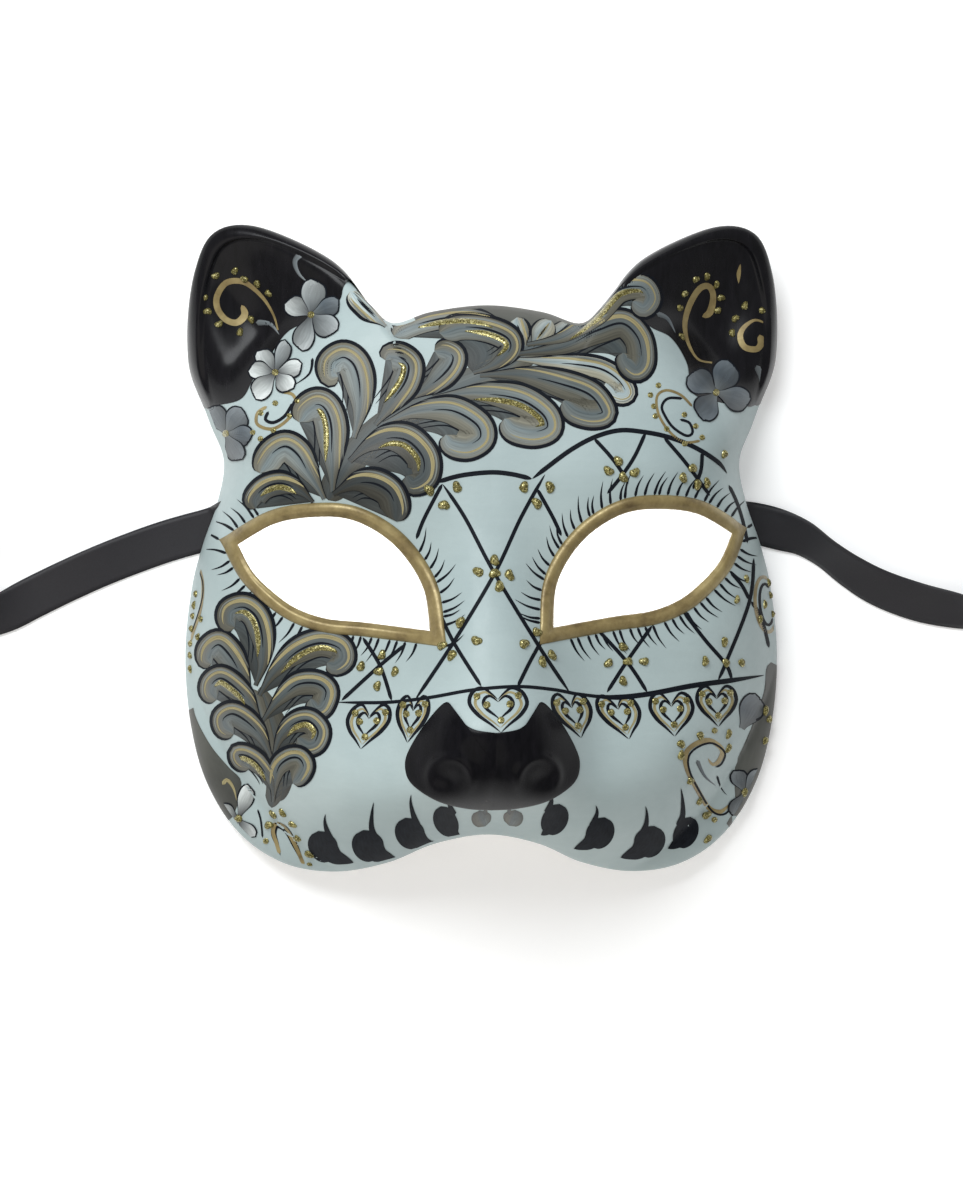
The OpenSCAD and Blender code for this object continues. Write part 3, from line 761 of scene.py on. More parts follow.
def cut(piece, cutters):
    for cutter in cutters:
        bpy.context.collection.objects.link(cutter)
        modifier = piece.modifiers.new("eye", "BOOLEAN")
        modifier.operation = "DIFFERENCE"
        modifier.solver = "EXACT"
        modifier.object = cutter
    done = bpy.data.meshes.new_from_object(piece.evaluated_get(bpy.context.evaluated_depsgraph_get()))
    piece.modifiers.clear()
    piece.data = done
    for cutter in cutters:
        bpy.data.objects.remove(cutter)


def make_shell():
    outer = shell_rings(ring_places(*OUTER_RINGS))
    coarse = shell_rings(ring_places(*INNER_RINGS))
    inner = coarse - WALL * ring_normals(coarse)
    sheet = Sheet()
    sheet.grid(outer, shut=True)
    back = sheet.count
    sheet.grid(inner, shut=True)
    n = SHELL_ACROSS
    sheet.faces = [f[::-1] if min(f) >= back else f for f in sheet.faces]
    last_out, last_in = back - n, sheet.count - n
    sheet.faces += [[last_out + i, last_in + i, last_in + (i + 1) % n, last_out + (i + 1) % n]
                    for i in range(n)]
    sheet.faces += [list(range(n))[::-1], [back + i for i in range(n)]]
    piece = sheet.piece("paper_shell", "shell_paint", PAINT, ("face_shell",))
    piece.data.materials.append(PAPER)
    turn_outward(piece.data)
    inside = np.zeros(len(piece.data.polygons), int)
    for polygon in piece.data.polygons:
        inside[polygon.index] = int(min(polygon.vertices) >= back)
    piece.data.polygons.foreach_set("material_index", inside)
    cut(piece, [eye_cutter(1), eye_cutter(-1)])
    piece.data.shade_smooth()


make_shell()
# the rim's section: how far out of the opening, and how far above the face
RIM_SECTION = np.array([
    [0.25, -WALL - 0.3], [0.0, -1.6], [0.0, -0.5], [0.15, 0.35], [0.6, 0.85], [1.0, 0.95], [1.25, 1.25],
    [1.9, RIM_H], [2.7, 1.5], [3.5, 1.1], [4.1, 0.55], [RIM_W + 0.1, 0.0], [RIM_W, -0.3],
    [HOLE_GROW + 0.2, -0.3], [HOLE_GROW, -WALL - 0.3]])


def make_eye_rim(name, side, node):
    edge = eye_edge(side)
    rows = []
    for out, high in RIM_SECTION:
        line = outward(edge, out)
        rows.append(np.column_stack([line, height(line[:, 0], line[:, 1]) + high]))
    points = np.stack(rows + rows[:1])
    sheet = Sheet()
    sheet.grid(points[:-1], shut=True)
    n = len(edge)
    last = (len(rows) - 1) * n
    sheet.faces += [[last + i, last + (i + 1) % n, (i + 1) % n, i] for i in range(n)]
    piece = sheet.piece(name, "gilt", GILT, (node,))
    turn_outward(piece.data)


make_eye_rim("gilt_rim_right", 1, "eye_rim_right")
make_eye_rim("gilt_rim_left", -1, "eye_rim_left")

# ---------------------------------------------------------------- lacquer on the ears and the nose

LACQUER_LIFT = 0.14
ROLLED_RIM = 1.5
# the roll starts and is full at these distances in from the rim
ROLL_START = 4.4
ROLL_FULL = 3.0


def rim_patch(sheet, boundary, lift, tone=0.0, rolled=0.0):
    """Paint between a boundary, seen from the camera, and the mask's rim."""
    spots = seen(smooth(boundary, 1.0))
    places = ring_places(*OUTER_RINGS)
    edge = rim_round(SHELL_ACROSS)
    edge_bearing = np.arctan2(edge[:, 0], edge[:, 1])
    bearing = np.arctan2(spots[:, 0], spots[:, 1])
    order = np.argsort(bearing)
    share = np.hypot(spots[:, 0], spots[:, 1]) / np.interp(np.abs(bearing), BEARING, RADIUS)
    columns = np.where((edge_bearing > bearing.min()) & (edge_bearing < bearing.max()))[0]
    columns = columns[np.argsort(edge_bearing[columns])]
    start = np.interp(edge_bearing[columns], bearing[order], share[order])
    columns, start = columns[start < RIM_MARGIN], start[start < RIM_MARGIN]
    t = np.maximum(places[:, None], np.minimum(start, 0.999)[None, :])
    x, y = t * edge[columns, 0], t * edge[columns, 1]
    inset = (1 - t) * np.hypot(edge[columns, 0], edge[columns, 1])
    run = np.linspace(0, 1, len(columns))
    window = step_up(0, 0.15, run) * step_up(1, 0.85, run)
    points = on_face(x, y, lift + rolled * window * step_up(ROLL_START, ROLL_FULL, inset))
    out = edge[columns, :2] / np.hypot(edge[columns, 0], edge[columns, 1])[:, None]
    points[-1, :, :2] = edge[columns, :2] + lift * out
    points[-1, :, 2] = edge[columns, 2]
    brush = brush_grid(points.shape[:2], run, t, tone)
    first = np.where((t[1:] > t[:-1] + 1e-9).any(axis=1))[0][0]
    sheet.grid(points[first:], brush[first:])


# where the black of each ear ends on the face
LEFT_EAR_EDGE = [(-39, 86), (-42.5, 81), (-44, 76.5), (-52, 71), (-60, 67.3), (-66, 59), (-70.4, 52.9),
                 (-74.6, 46.3), (-84.8, 44.5), (-92, 43)]
RIGHT_EAR_EDGE = [(38, 84), (44, 80.5), (51, 69.7), (58.5, 65.6), (63.5, 57.5), (65, 48.3), (74, 45.5),
                  (84.5, 44.5), (87, 46), (93, 44)]


def make_ear_lacquer(name, edge, node):
    sheet = Sheet()
    rim_patch(sheet, edge, LACQUER_LIFT, rolled=ROLLED_RIM)
    piece = sheet.piece(name, "black_lacquer", LACQUER, (node,), face_up=True)
    work = bmesh.new()
    work.from_mesh(piece.data)
    bmesh.ops.dissolve_degenerate(work, dist=1e-6, edges=work.edges)
    work.to_mesh(piece.data)
    work.free()


make_ear_lacquer("ear_lacquer_left", LEFT_EAR_EDGE, "ear_lining_left")
make_ear_lacquer("ear_lacquer_right", RIGHT_EAR_EDGE, "ear_lining_right")

NOSTRIL = np.array([13.0, -69.5])
FLARE_R = 6.2
FLARE_HIGH = 0.8
FLARE_WIDE = 1.5
NOSE_RINGS = 56
NOSE_EDGE_T = 0.3
NOSE_MORE_T = 0.25


def make_nose():
    half = smooth(NOSE_EDGE, 0.8)
    edge = np.concatenate([half, (half * [-1, 1])[-2:0:-1]])
    t = np.linspace(0, 1, NOSE_RINGS)
    spots = NOSE_MIDDLE + (t[:, None, None] * (edge - NOSE_MIDDLE)[None])
    x, y = spots[..., 0], spots[..., 1]
    away = np.hypot(np.abs(x) - NOSTRIL[0], y - NOSTRIL[1])
    bearing = np.arctan2(y - NOSTRIL[1], np.abs(x) - NOSTRIL[0])
    flare = FLARE_HIGH * np.exp(-((away - FLARE_R) / FLARE_WIDE) ** 2) * step_up(-0.9, 0.3, np.sin(bearing))
    thick = NOSE_EDGE_T + NOSE_MORE_T * np.sqrt(1 - t ** 8)[:, None]
    points = on_face(x, y, thick + flare)
    brush = brush_grid(points.shape[:2], t[:, None])
    sheet = Sheet()
    sheet.grid(points[1:], brush[1:], shut=True)
    sheet.add(points[:1, 0], [], brush[:1, 0])
    last = sheet.count - 1
    n = len(edge)
    sheet.faces += [[last, (i + 1) % n, i] for i in range(n)]
    sheet.piece("nose_lacquer", "black_lacquer", NOSE_LACQUER, ("nose_cap",), face_up=True)


make_nose()

# ---------------------------------------------------------------- painting, as seen from the camera

STROKE_STEP = 0.7
BASE_LIFT = 0.07
UNDER_LIFT = BASE_LIFT - 0.02
OVER_LIFT = BASE_LIFT + 0.02
LEAF_STEP = 0.045
FILL_LIFT = 0.014
DETAIL_LIFT = 0.028
# where a spine bends more than STRAIGHT, no point moves inwards by more than this share of the radius
BEND_SHARE = 0.9
STRAIGHT = 0.01
NO_LIMIT = 99


class Painting:
    """One region's paint: a sheet for each kind of paint."""

    KINDS = {"ink": ("paint_leaf", INK), "leaf": ("paint_leaf", LEAF), "cream": ("paint_leaf", CREAM),
             "petal": ("paint_leaf", PETAL), "gold": ("gilt", GILT), "glitter": ("glitter", GLITTER),
             "black": ("black_lacquer", LACQUER)}

    def __init__(self, name):
        self.name = name
        self.sheets = {}

    def sheet(self, kind):
        return self.sheets.setdefault(kind, Sheet())

    def finish(self):
        for kind, sheet in self.sheets.items():
            slot, material = self.KINDS[kind]
            sheet.piece(self.name + "_" + kind, slot, material, face_up=True)


def leaf_form(s, tip):
    """Thin at the stem, full from two thirds on, and round at the tip."""
    return (0.16 + 0.84 * step_up(0, 0.5, s)) * round_end(s, tip)


def round_end(s, tip):
    return np.sqrt(np.clip(1 - (np.maximum(0, s - 1 + tip) / tip) ** 2, 0, 1))


def line_form(s, tip):
    """Even, with both ends drawn to a point."""
    return np.clip(np.minimum(s, 1 - s) / tip, 0, 1) ** 0.6


def comma_form(s, tip):
    """Round where the brush lands, then thinning to nothing."""
    return round_end(1 - s, tip) * (1 - s) ** 0.75


def even_form(s, tip):
    return round_end(s, tip) * round_end(1 - s, tip)


def petal_form(s, tip):
    return (0.25 + 0.75 * step_up(0, 0.6, s)) * round_end(s, tip)


def oval_form(s, tip):
    return np.sqrt(np.maximum(0, 1 - (2 * s - 1) ** 2))


def scroll_form(s, tip):
    """Thin at first, widening all the way to a round end."""
    return (0.3 + 0.7 * step_up(0, 0.55, s) + 0.35 * step_up(0.8, 1, s)) * round_end(s, tip)


def band(sheet, spine, half, lift, form=line_form, tone=0.0, shift=0.0, part=(0, 1), across=5, crown=0.0,
         tip=None, sides=(0, 1)):
    """A stroke along a spine: half is half its greatest width, and shift moves it to the left."""
    line = smooth(spine, STROKE_STEP)
    low, high = (int(round(p * (len(line) - 1))) for p in part)
    ahead = np.gradient(line, axis=0)
    pace = np.linalg.norm(ahead, axis=1)
    ahead /= pace[:, None]
    left = np.stack([-ahead[:, 1], ahead[:, 0]], axis=1)
    turn = np.gradient(np.unwrap(np.arctan2(ahead[:, 1], ahead[:, 0]))) / pace
    line, left, turn = (v[low:high + 1] for v in (line, left, turn))
    s = np.linspace(0, 1, len(line))
    if tip is None:
        tip = min(0.45, half / (np.sum(pace[low:high + 1]) + 1e-6) * 1.3)
    wide = half * form(s, tip)
    a = np.linspace(-1, 1, across)
    reach = shift * (form(s, tip) if form is leaf_form else 1) + 0 * s
    most = np.where(turn > STRAIGHT, BEND_SHARE / np.maximum(turn, STRAIGHT), NO_LIMIT)
    least = np.where(turn < -STRAIGHT, BEND_SHARE / np.minimum(turn, -STRAIGHT), -NO_LIMIT)
    offset = np.clip(reach[:, None] + wide[:, None] * a, least[:, None], most[:, None])
    spots = line[:, None] + left[:, None] * offset[..., None]
    raised = lift + crown * np.sqrt(np.maximum(0, 1 - a ** 2))[None, :] * np.ones((len(s), 1))
    if crown:
        raised += crown * 0.35 * (grain.random(raised.shape) - 0.5) * (1 - a ** 4)
    side = sides[0] + (sides[1] - sides[0]) * (0.5 + 0.5 * a)
    sheet.grid(seen(spots, raised), brush_grid(spots.shape[:2], s[:, None], side, tone))


def hollow(sheet, spine, lift, near, far):
    """Fills a curl, between its spine and the straight line from end to end, in tones from near to far."""
    line = smooth(spine, STROKE_STEP)
    s = np.linspace(0, 1, len(line))[1:-1, None]
    chord = line[0] + (line[-1] - line[0]) * s
    a = np.linspace(0, 1, 9)
    spots = line[1:-1, None] + (chord - line[1:-1])[:, None] * a[None, :, None]
    brush = brush_grid(spots.shape[:2], s, 0.15 + 0.7 * a, near + (far - near) * a)
    sheet.grid(seen(spots, lift), brush)


def turning(spine):
    """1 where a spine curls to the left and -1 to the right."""
    ahead = np.diff(np.asarray(spine, float), axis=0)
    return np.sign(np.cross(ahead[:-1], ahead[1:]).sum())


def leaf(painting, spine, half, tone, level, accents=""):
    """A curling leaf: dark edge, grey body, cream stroke outside, ink stroke inside, and perhaps glitter."""
    lift = BASE_LIFT + level * LEAF_STEP
    outer = -turning(spine)
    hollow(painting.sheet("leaf"), spine, UNDER_LIFT, 0.85 * tone, 0.02)
    body = 1.35 * half
    inward = -0.35 * half * outer
    for way, bold in ((1.35, 0.3), (1.8, 0.24)):
        band(painting.sheet("ink"), spine, bold, BASE_LIFT, shift=-way * half * outer, part=(0.15, 0.72),
             tip=0.4)
    band(painting.sheet("ink"), spine, body + 0.65, lift, leaf_form, shift=inward + 0.45 * outer, across=9)
    band(painting.sheet("leaf"), spine, body, lift + FILL_LIFT, leaf_form, tone, inward, across=9)
    detail = lift + DETAIL_LIFT
    bold = 0.62 if "c" in accents else 0.38
    band(painting.sheet("cream"), spine, bold, detail, tone=0.5 + 0.5 * ("c" in accents),
         shift=0.42 * half * outer, part=(0.18, 0.93), tip=0.3)
    band(painting.sheet("ink"), spine, 0.34, detail, shift=-0.3 * half * outer, part=(0.3, 0.8), tip=0.4)
    band(painting.sheet("leaf"), spine, 0.4, detail, tone=0.6, shift=0.74 * half * outer, part=(0.25, 0.9),
         tip=0.4, across=3)
    if "g" in accents:
        band(painting.sheet("glitter"), spine, 0.85, detail, shift=-0.78 * half * outer, part=(0.22, 0.8),
             crown=0.3, tip=0.25)


def comma(painting, spine, half, tone=1.0, kind="petal", lift=BASE_LIFT):
    band(painting.sheet(kind), spine, half, lift, comma_form, tone)


def dot(painting, spot, radius, high, kind="glitter", lift=BASE_LIFT):
    """A drop of glitter or paint: a low, lumpy dome."""
    rings = np.array([1.0, 0.94, 0.75, 0.45, 0.02])
    around = 12
    angle = np.arange(around) * 2 * math.pi / around
    wobble = 1 + 0.12 * (grain.random(around) - 0.5)
    r = radius * rings[:, None] * wobble[None, :]
    spots = np.stack([spot[0] + r * np.cos(angle), spot[1] + r * np.sin(angle)], axis=-1)
    raised = lift + high * np.sqrt(1 - rings ** 2)[:, None] * (1 + 0.3 * (grain.random(r.shape) - 0.5))
    painting.sheet(kind).grid(seen(spots, raised), brush_grid(r.shape, 1 - rings[:, None]), shut=True)


PETAL_EDGE = 0.5
PETAL_TIP = 0.45
PETAL_STEP = 0.03
LOBE_LEAN = 0.32
LOBE_SHARE = 0.74
LOBES = ((1, (0.45, 1.0), 0.0), (-1, (0.0, 0.55), 0.004))


def petal(painting, heart, spread, length, half, tone, lift):
    """One petal, from a flower's heart along a bearing in degrees: two strokes side by side, with a notch."""
    heart = np.array(heart, float)
    for side, sides, above in LOBES:
        bearing = math.radians(spread) + side * LOBE_LEAN * half / length
        long = length * (1 if side > 0 else 0.93)
        way = np.array([math.cos(bearing), math.sin(bearing)])
        spine = [heart + way * 0.6, heart + way * long * 0.5, heart + way * long]
        wide = LOBE_SHARE * half
        rim = [spine[0], spine[1], heart + way * (long + PETAL_TIP)]
        band(painting.sheet("ink"), rim, wide + PETAL_EDGE, lift, petal_form, across=7, tip=0.4)
        band(painting.sheet("petal"), spine, wide, lift + FILL_LIFT + above, petal_form, tone, across=7,
             tip=0.4, sides=sides)


def flower(painting, heart, petals, tone, lift):
    """Petals are rows of bearing, length, half width and a step of tone."""
    for k, (spread, length, half, shade) in enumerate(petals):
        petal(painting, heart, spread, length, half, tone + shade, lift + PETAL_STEP * k)
    dot(painting, heart, 1.1, 0.25, lift=lift + PETAL_STEP * len(petals) + 0.02)


# the one source of unevenness in strokes, drops and beads
grain = np.random.default_rng(7)

# tone of the stems and of the plain patches on the cheeks; on the patches it stands for black paint drawn
# lighter, as painted reflection
STEM_TONE = 0.34

# leaves: spine from stem to curl, half width, tone, level and accents (c bold cream, g glitter)
FOREHEAD_LEAVES = [
    ([(-22, 46), (-14, 50.5), (-9, 55.5), (-8, 59.5), (-11, 61.5), (-14.5, 61)], 2.8, 0.5, 0, ""),
    ([(-32.5, 38), (-27, 44.5), (-22.5, 51), (-21.5, 56.5), (-24.5, 59.5), (-28.5, 60), (-29.5, 58)],
      3.2, 0.5, 1, "g"),
    ([(-39, 34), (-36.5, 43.5), (-36.5, 51.5), (-38.5, 57.5), (-42.5, 60), (-46.5, 57.5), (-46.5, 53),
      (-44, 53)], 3.5, 0.62, 2, ""),
    ([(-45.5, 17.5), (-45, 27.5), (-45, 37.5), (-47, 43.5), (-50.5, 45.5), (-54.5, 43), (-56, 39)],
      3.5, 0.55, 3, "g"),
    ([(-48, 15.5), (-51.5, 22.5), (-55.5, 29.5), (-60, 32.5), (-64.5, 30.5), (-67.5, 26), (-68, 23.5)],
      3.2, 0.62, 4, ""),
    ([(-51.5, 14.5), (-56, 19), (-61.5, 21), (-67, 19.5), (-70.5, 15.5), (-69.5, 12.5)], 2.5, 0.2, 5, "cg"),
    ([(10.5, 60), (24, 62.5), (35, 68), (43.5, 70.5), (49, 65.5), (50, 58), (47.5, 55), (44, 58),
      (43.5, 60.5)], 3.1, 0.42, 1, "c"),
    ([(14, 63), (24.5, 65.5), (34, 72.5), (41.5, 80.5), (49.5, 82), (52.5, 78), (50, 74.5), (46.5, 76.5)],
      2.8, 0.55, 2, "g"),
    ([(9.5, 58.5), (18.5, 58), (28.5, 57.5), (37, 56), (42.5, 52.5), (45, 48.5), (43.5, 47), (40.5, 48),
      (38, 51)], 2.2, 0.95, 0, ""),
    ([(-0.5, 53.5), (13, 54), (25, 51.5), (34, 48), (38, 42), (34, 40.5), (28.5, 42), (25, 45.5)],
      3.1, 0.5, 1, ""),
    ([(-15, 46.5), (-1, 48.5), (11.5, 47), (19.5, 42), (21, 37), (16, 35), (9.5, 36.5), (7, 40)],
      3.3, 0.6, 2, "g"),
    ([(-30, 38.5), (-20.5, 42.5), (-9.5, 43.5), (-1, 39), (0.5, 34), (-4, 31), (-9.5, 32), (-11, 35)],
      3.2, 0.6, 3, ""),
    ([(-40.5, 27), (-35, 32), (-28.5, 35), (-22, 34), (-17, 28.5), (-17, 22.5), (-21, 20), (-23, 22.5)],
      3.6, 0.2, 4, "cg"),
    ([(-45.5, 17), (-38.5, 21), (-32.5, 21), (-27.5, 18), (-25.5, 13), (-26, 8.5)], 3.2, 0.08, 5, "c"),
    ([(-2.5, 54), (4.5, 56.5), (9.5, 61), (8.5, 65.5), (1.5, 68.5), (-7, 69), (-13, 66.5)],
      2.8, 0.5, 1, "g"),
    ([(12, 63.5), (7, 68), (-0.5, 71.5), (-9.5, 72), (-18, 70.5), (-24.5, 68), (-27, 65.5)],
      2.3, 0.6, 0, "g"),
    ([(-29.5, 68.5), (-34.5, 72.5), (-38.5, 76.5), (-40.5, 79.5)], 2.1, 1.0, 0, ""),
    ([(13.5, 62.5), (12.5, 66.5), (11, 71.5)], 2.2, 0.8, 0, ""),
    ([(15.5, 62.5), (18.5, 66.5), (21.5, 70.5)], 2.4, 0.75, 1, ""),
    ([(18.5, 62.5), (24.5, 65.5), (30, 69)], 2.4, 0.7, 0, "")]
FOREHEAD_STEM = [(-47, 15), (-41.5, 25), (-32.5, 35.5), (-20, 43.5), (-6, 50), (6, 55), (14, 61), (24, 65)]
FOREHEAD_TOP = [(-27.5, 72), (-20, 70.5), (-8, 70.5), (4, 71), (12, 66), (20, 65.5), (30, 67.5), (36, 71),
                (45, 80), (50, 85)]

CHEEK_LEAVES = [
    ([(-71, -45), (-73.5, -38), (-77, -32), (-81, -28.5), (-84.5, -30.5), (-85.5, -34), (-83.5, -35.5)],
      3.2, 0.5, 0, "c"),
    ([(-69.5, -42), (-67, -35.5), (-66.5, -27.5), (-68.5, -20.5), (-73, -17), (-78, -18.5), (-78.5, -22.5),
      (-76, -24)], 2.9, 0.4, 1, "cg"),
    ([(-68.5, -45), (-64, -37.5), (-57.5, -31), (-50, -28), (-43.5, -29.5), (-42, -33.5), (-45, -36),
      (-47.5, -35)], 2.9, 0.38, 0, "cg"),
    ([(-67.5, -53), (-62.5, -46), (-57, -41), (-50.5, -40.5), (-47, -43.5), (-48.5, -48.5), (-51, -49),
      (-52.5, -46)], 2.6, 0.4, 1, "c"),
    ([(-68, -53), (-71.5, -46), (-76, -41.5), (-80.5, -39), (-84, -41), (-84.5, -44.5), (-82, -46.5)],
      2.7, 0.45, 1, "g"),
    ([(-64, -63.5), (-62, -57.5), (-58, -53), (-53, -52), (-49.5, -55.5), (-50.5, -59.5), (-53.5, -60.5),
      (-56.5, -58)], 2.6, 0.38, 2, "g"),
    ([(-64.5, -64.5), (-68, -56.5), (-72.5, -52), (-77, -50), (-80.5, -52), (-80, -55.5), (-76.5, -57)],
      2.6, 0.42, 2, ""),
    ([(-64.5, -78), (-63.5, -68), (-60, -64), (-56, -63.5), (-54, -66.5), (-56, -70.5), (-58, -72)],
      2.3, 0.5, 3, "c"),
    ([(-64, -76), (-65, -70.5), (-68.5, -65.5), (-72.5, -63), (-75.5, -63), (-75, -65.5), (-71.5, -67.5)],
      2.3, 0.42, 3, "g")]
CHEEK_STEM = [(-65, -80), (-64, -71), (-67, -56), (-70.5, -43)]


def paint_leaves():
    forehead = Painting("forehead")
    band(forehead.sheet("leaf"), FOREHEAD_STEM, 4.6, UNDER_LIFT, even_form, STEM_TONE, across=9)
    rim_patch(forehead.sheet("leaf"), FOREHEAD_TOP, UNDER_LIFT, 0.45)
    for row in FOREHEAD_LEAVES:
        leaf(forehead, *row)
    forehead.finish()
    cheek = Painting("cheek_plume")
    band(cheek.sheet("leaf"), CHEEK_STEM, 6.5, BASE_LIFT - 0.03, line_form, 0.2, shift=-2.5,
         part=(0.08, 1), across=9, tip=0.5)
    band(cheek.sheet("leaf"), CHEEK_STEM, 2.6, UNDER_LIFT, line_form, STEM_TONE, across=7)
    for row in CHEEK_LEAVES:
        leaf(cheek, *row)
    cheek.finish()


# lattice of diamonds over the nose and cheeks
BROW_ARCS = [
    [(-13.5, 20.5), (-6.5, 22.5), (2.5, 23.5), (9, 23), (15.5, 21.5)],
    [(15.5, 21.5), (20, 25), (27.5, 30.5), (35, 34.5), (42.5, 36.5), (50, 36), (57.5, 34.5), (65.5, 31.5),
     (73, 27), (76, 23.5)]]
CHEEK_BAND = [(-44.5, -47), (-29.5, -47), (-16.5, -45.5), (-2.5, -43), (11, -42), (22, -43), (30, -44.5),
              (40.5, -45.5), (51.5, -44.5), (65, -42), (77, -40.5), (88, -39)]
LATTICE = [
    [(-12, 20), (-17.5, 9.5), (-20, 3)], [(-12, 20), (-5, 9.5), (4, -7.5), (18, -30.5), (27, -44)],
    [(19.5, 23), (12, 9.5), (4, -7.5), (-8.5, -28.5), (-20.5, -46.5)], [(17, 18.5), (22, 9.5), (24.5, 4)],
    [(-13.5, -18), (-8.5, -28.5), (0, -42)], [(19, -27), (15, -34), (11, -42)],
    [(-36.5, -27), (-31, -36), (-27.5, -46.5)], [(-23, -29), (-31.5, -36), (-43, -46.5)],
    [(35.5, -24.5), (45, -35), (51, -44)], [(52.5, -23.5), (45, -34), (38.5, -44)],
    [(62, -19), (69, -28), (75.5, -35.5), (77.5, -40.5)],
    [(84.5, -2.5), (83, -16), (75.5, -35), (73, -40.5)], [(77, -7), (80.5, -11), (83, -15.5)],
    [(83.5, -16), (86, -19.5), (88, -24.5), (89.5, -30.5)],
    [(34.5, 34), (39.5, 28.5), (43.5, 23), (45, 20)], [(50.5, 36), (47, 28.5), (43, 22.5), (38.5, 17)],
    [(56, 34.5), (62.5, 27), (67.5, 20.5), (70.5, 16.5)], [(68, 30), (67.5, 24), (65, 18.5)],
    [(76.5, 20), (79, 15), (81, 9), (82.5, 2)]]
HEARTS = [(-34.4, -54.2, 12.8, 13, -3.4), (-20.8, -51.8, 9.4, 13.6, -2.4), (5, -48.8, 17.5, 12.8, 1.2),
          (27.4, -50.8, 11.4, 12.8, 4), (41.8, -51.4, 12.6, 12.8, 4.6), (58.4, -50.6, 13.2, 12.8, 1.4),
          (72.6, -48.2, 12.4, 12, 0.8)]
HEART_HALF = [(0, 0.22), (0.1, 0.36), (0.26, 0.5), (0.43, 0.4), (0.5, 0.14), (0.38, -0.12), (0.16, -0.36),
              (0, -0.55)]
HEART_DOTS = [(-0.36, 0.3), (-0.2, 0.1), (0.2, 0.12), (0.36, 0.32), (0.02, -0.26)]


def paint_heart(painting, x, y, wide, tall, lean):
    """One heart, a pair of loops with gold between; its point is moved sideways by lean."""
    size = np.array([wide, tall])

    def placed(spots, side, share=1.0, up=0.0):
        spots = np.array(spots) * [share * side, share] + [0, up]
        slant = lean * (HEART_HALF[0][1] - spots[:, 1:]) * [1, 0]
        return np.array([x, y]) + spots * size + slant

    for side in (-1, 1):
        outer = placed(HEART_HALF, side)
        inner = placed(HEART_HALF, side, 0.52, 0.05)
        band(painting.sheet("ink"), outer, 0.6, BASE_LIFT, line_form, tip=0.35)
        band(painting.sheet("ink"), inner, 0.5, BASE_LIFT, line_form, tip=0.35)
        band(painting.sheet("cream"), placed(HEART_HALF, side, 0.8), 0.45, UNDER_LIFT, line_form, 0.3,
             tip=0.4)
    for spot in placed(HEART_DOTS, 1):
        dot(painting, spot, 1.1, 0.4)


def paint_lattice():
    lattice = Painting("lattice")
    ink = lattice.sheet("ink")
    for arc in BROW_ARCS:
        band(ink, arc, 0.72, BASE_LIFT, line_form, tip=0.06)
    band(ink, CHEEK_BAND, 0.52, BASE_LIFT, line_form, tip=0.06)
    band(ink, CHEEK_BAND[6:], 0.8, BASE_LIFT + 0.004, line_form, tip=0.2)
    for line in LATTICE:
        band(ink, line, 0.58, BASE_LIFT, line_form, tip=0.07)
    for heart in HEARTS:
        paint_heart(lattice, *heart)
    lattice.finish()


# teeth: black drops along the lip, each a middle and the top of its tail; side is the way to the notch
TEETH = [((-49, -91.5), (-48, -81.5), 1), ((-35, -91), (-33, -77.5), 1), ((-22, -87), (-21.5, -75), 1),
         ((-11, -83.2), (-9.5, -75.5), 1), ((22.5, -82.6), (20.5, -73.5), -1), ((36.5, -87), (35, -78.5), -1),
         ((52, -90), (50.5, -79), -1), ((63.5, -87.5), (61.5, -73.5), -1)]
TOOTH_HALF = [4.6, 4.9, 4.5, 3.6, 4, 4.3, 4.9, 3.8]
TOOTH_SWEEP = [1, 1, 1, 0.5, 0.45, 0.85, 0.95, 0.6]
NOSTRIL_MARKS = [(-0.2, -82.2), (9.9, -82)]


def paint_teeth():
    teeth = Painting("teeth")
    ink = teeth.sheet("ink")
    for ((x, y), (top_x, top_y), side), half, far in zip(TEETH, TOOTH_HALF, TOOTH_SWEEP):
        dip = 0.8 * far
        body = [(x - 1.4 * side, y + 4.6), (x - 0.2 * side, y), (x + 2.6 * side, y - 5)]
        sweep = [(x + 0.5 * side, y + 0.5 - dip), (x + 3.6 * far * side, y - 2.6 - dip),
                 (x + 6.4 * far * side, y - 4.5), (x + 9.4 * far * side, y - 5.4)]
        tail = [(x + 2.6 * side, y + 1.5), (x + 1.2 * side, y + 5.2),
                (0.7 * top_x + 0.3 * x, 0.6 * top_y + 0.4 * (y + 5)), (top_x, top_y)]
        band(ink, body, half, BASE_LIFT + 0.06, oval_form, across=13)
        band(ink, sweep, 0.85 * half, BASE_LIFT + 0.064, comma_form, across=9, tip=0.3)
        band(ink, tail, 1.15, BASE_LIFT + 0.068, comma_form, across=7, tip=0.1)
    for x, y in NOSTRIL_MARKS:
        side = 1 if x > 5 else -1
        blot = [(x + 0.4 * side, y + 2.2), (x, y), (x - 1.4 * side, y - 3)]
        stem = [(x - 1.2 * side, y + 0.5), (x - 1.4 * side, y + 2), (x - 1.7 * side, y + 4.2)]
        band(teeth.sheet("leaf"), blot, 3.1, BASE_LIFT, oval_form, 0.4, across=9)
        band(teeth.sheet("leaf"), stem, 0.9, BASE_LIFT + 0.006, comma_form, 0.3, tip=0.1)
    teeth.finish()


# lashes all round both eyes
LASH_EVERY = 2.7
LASH_LONG = 7.4
# where the plume's foot reaches the left eye's rim, and there are no lashes
PLUME_FOOT = (-69, -22)


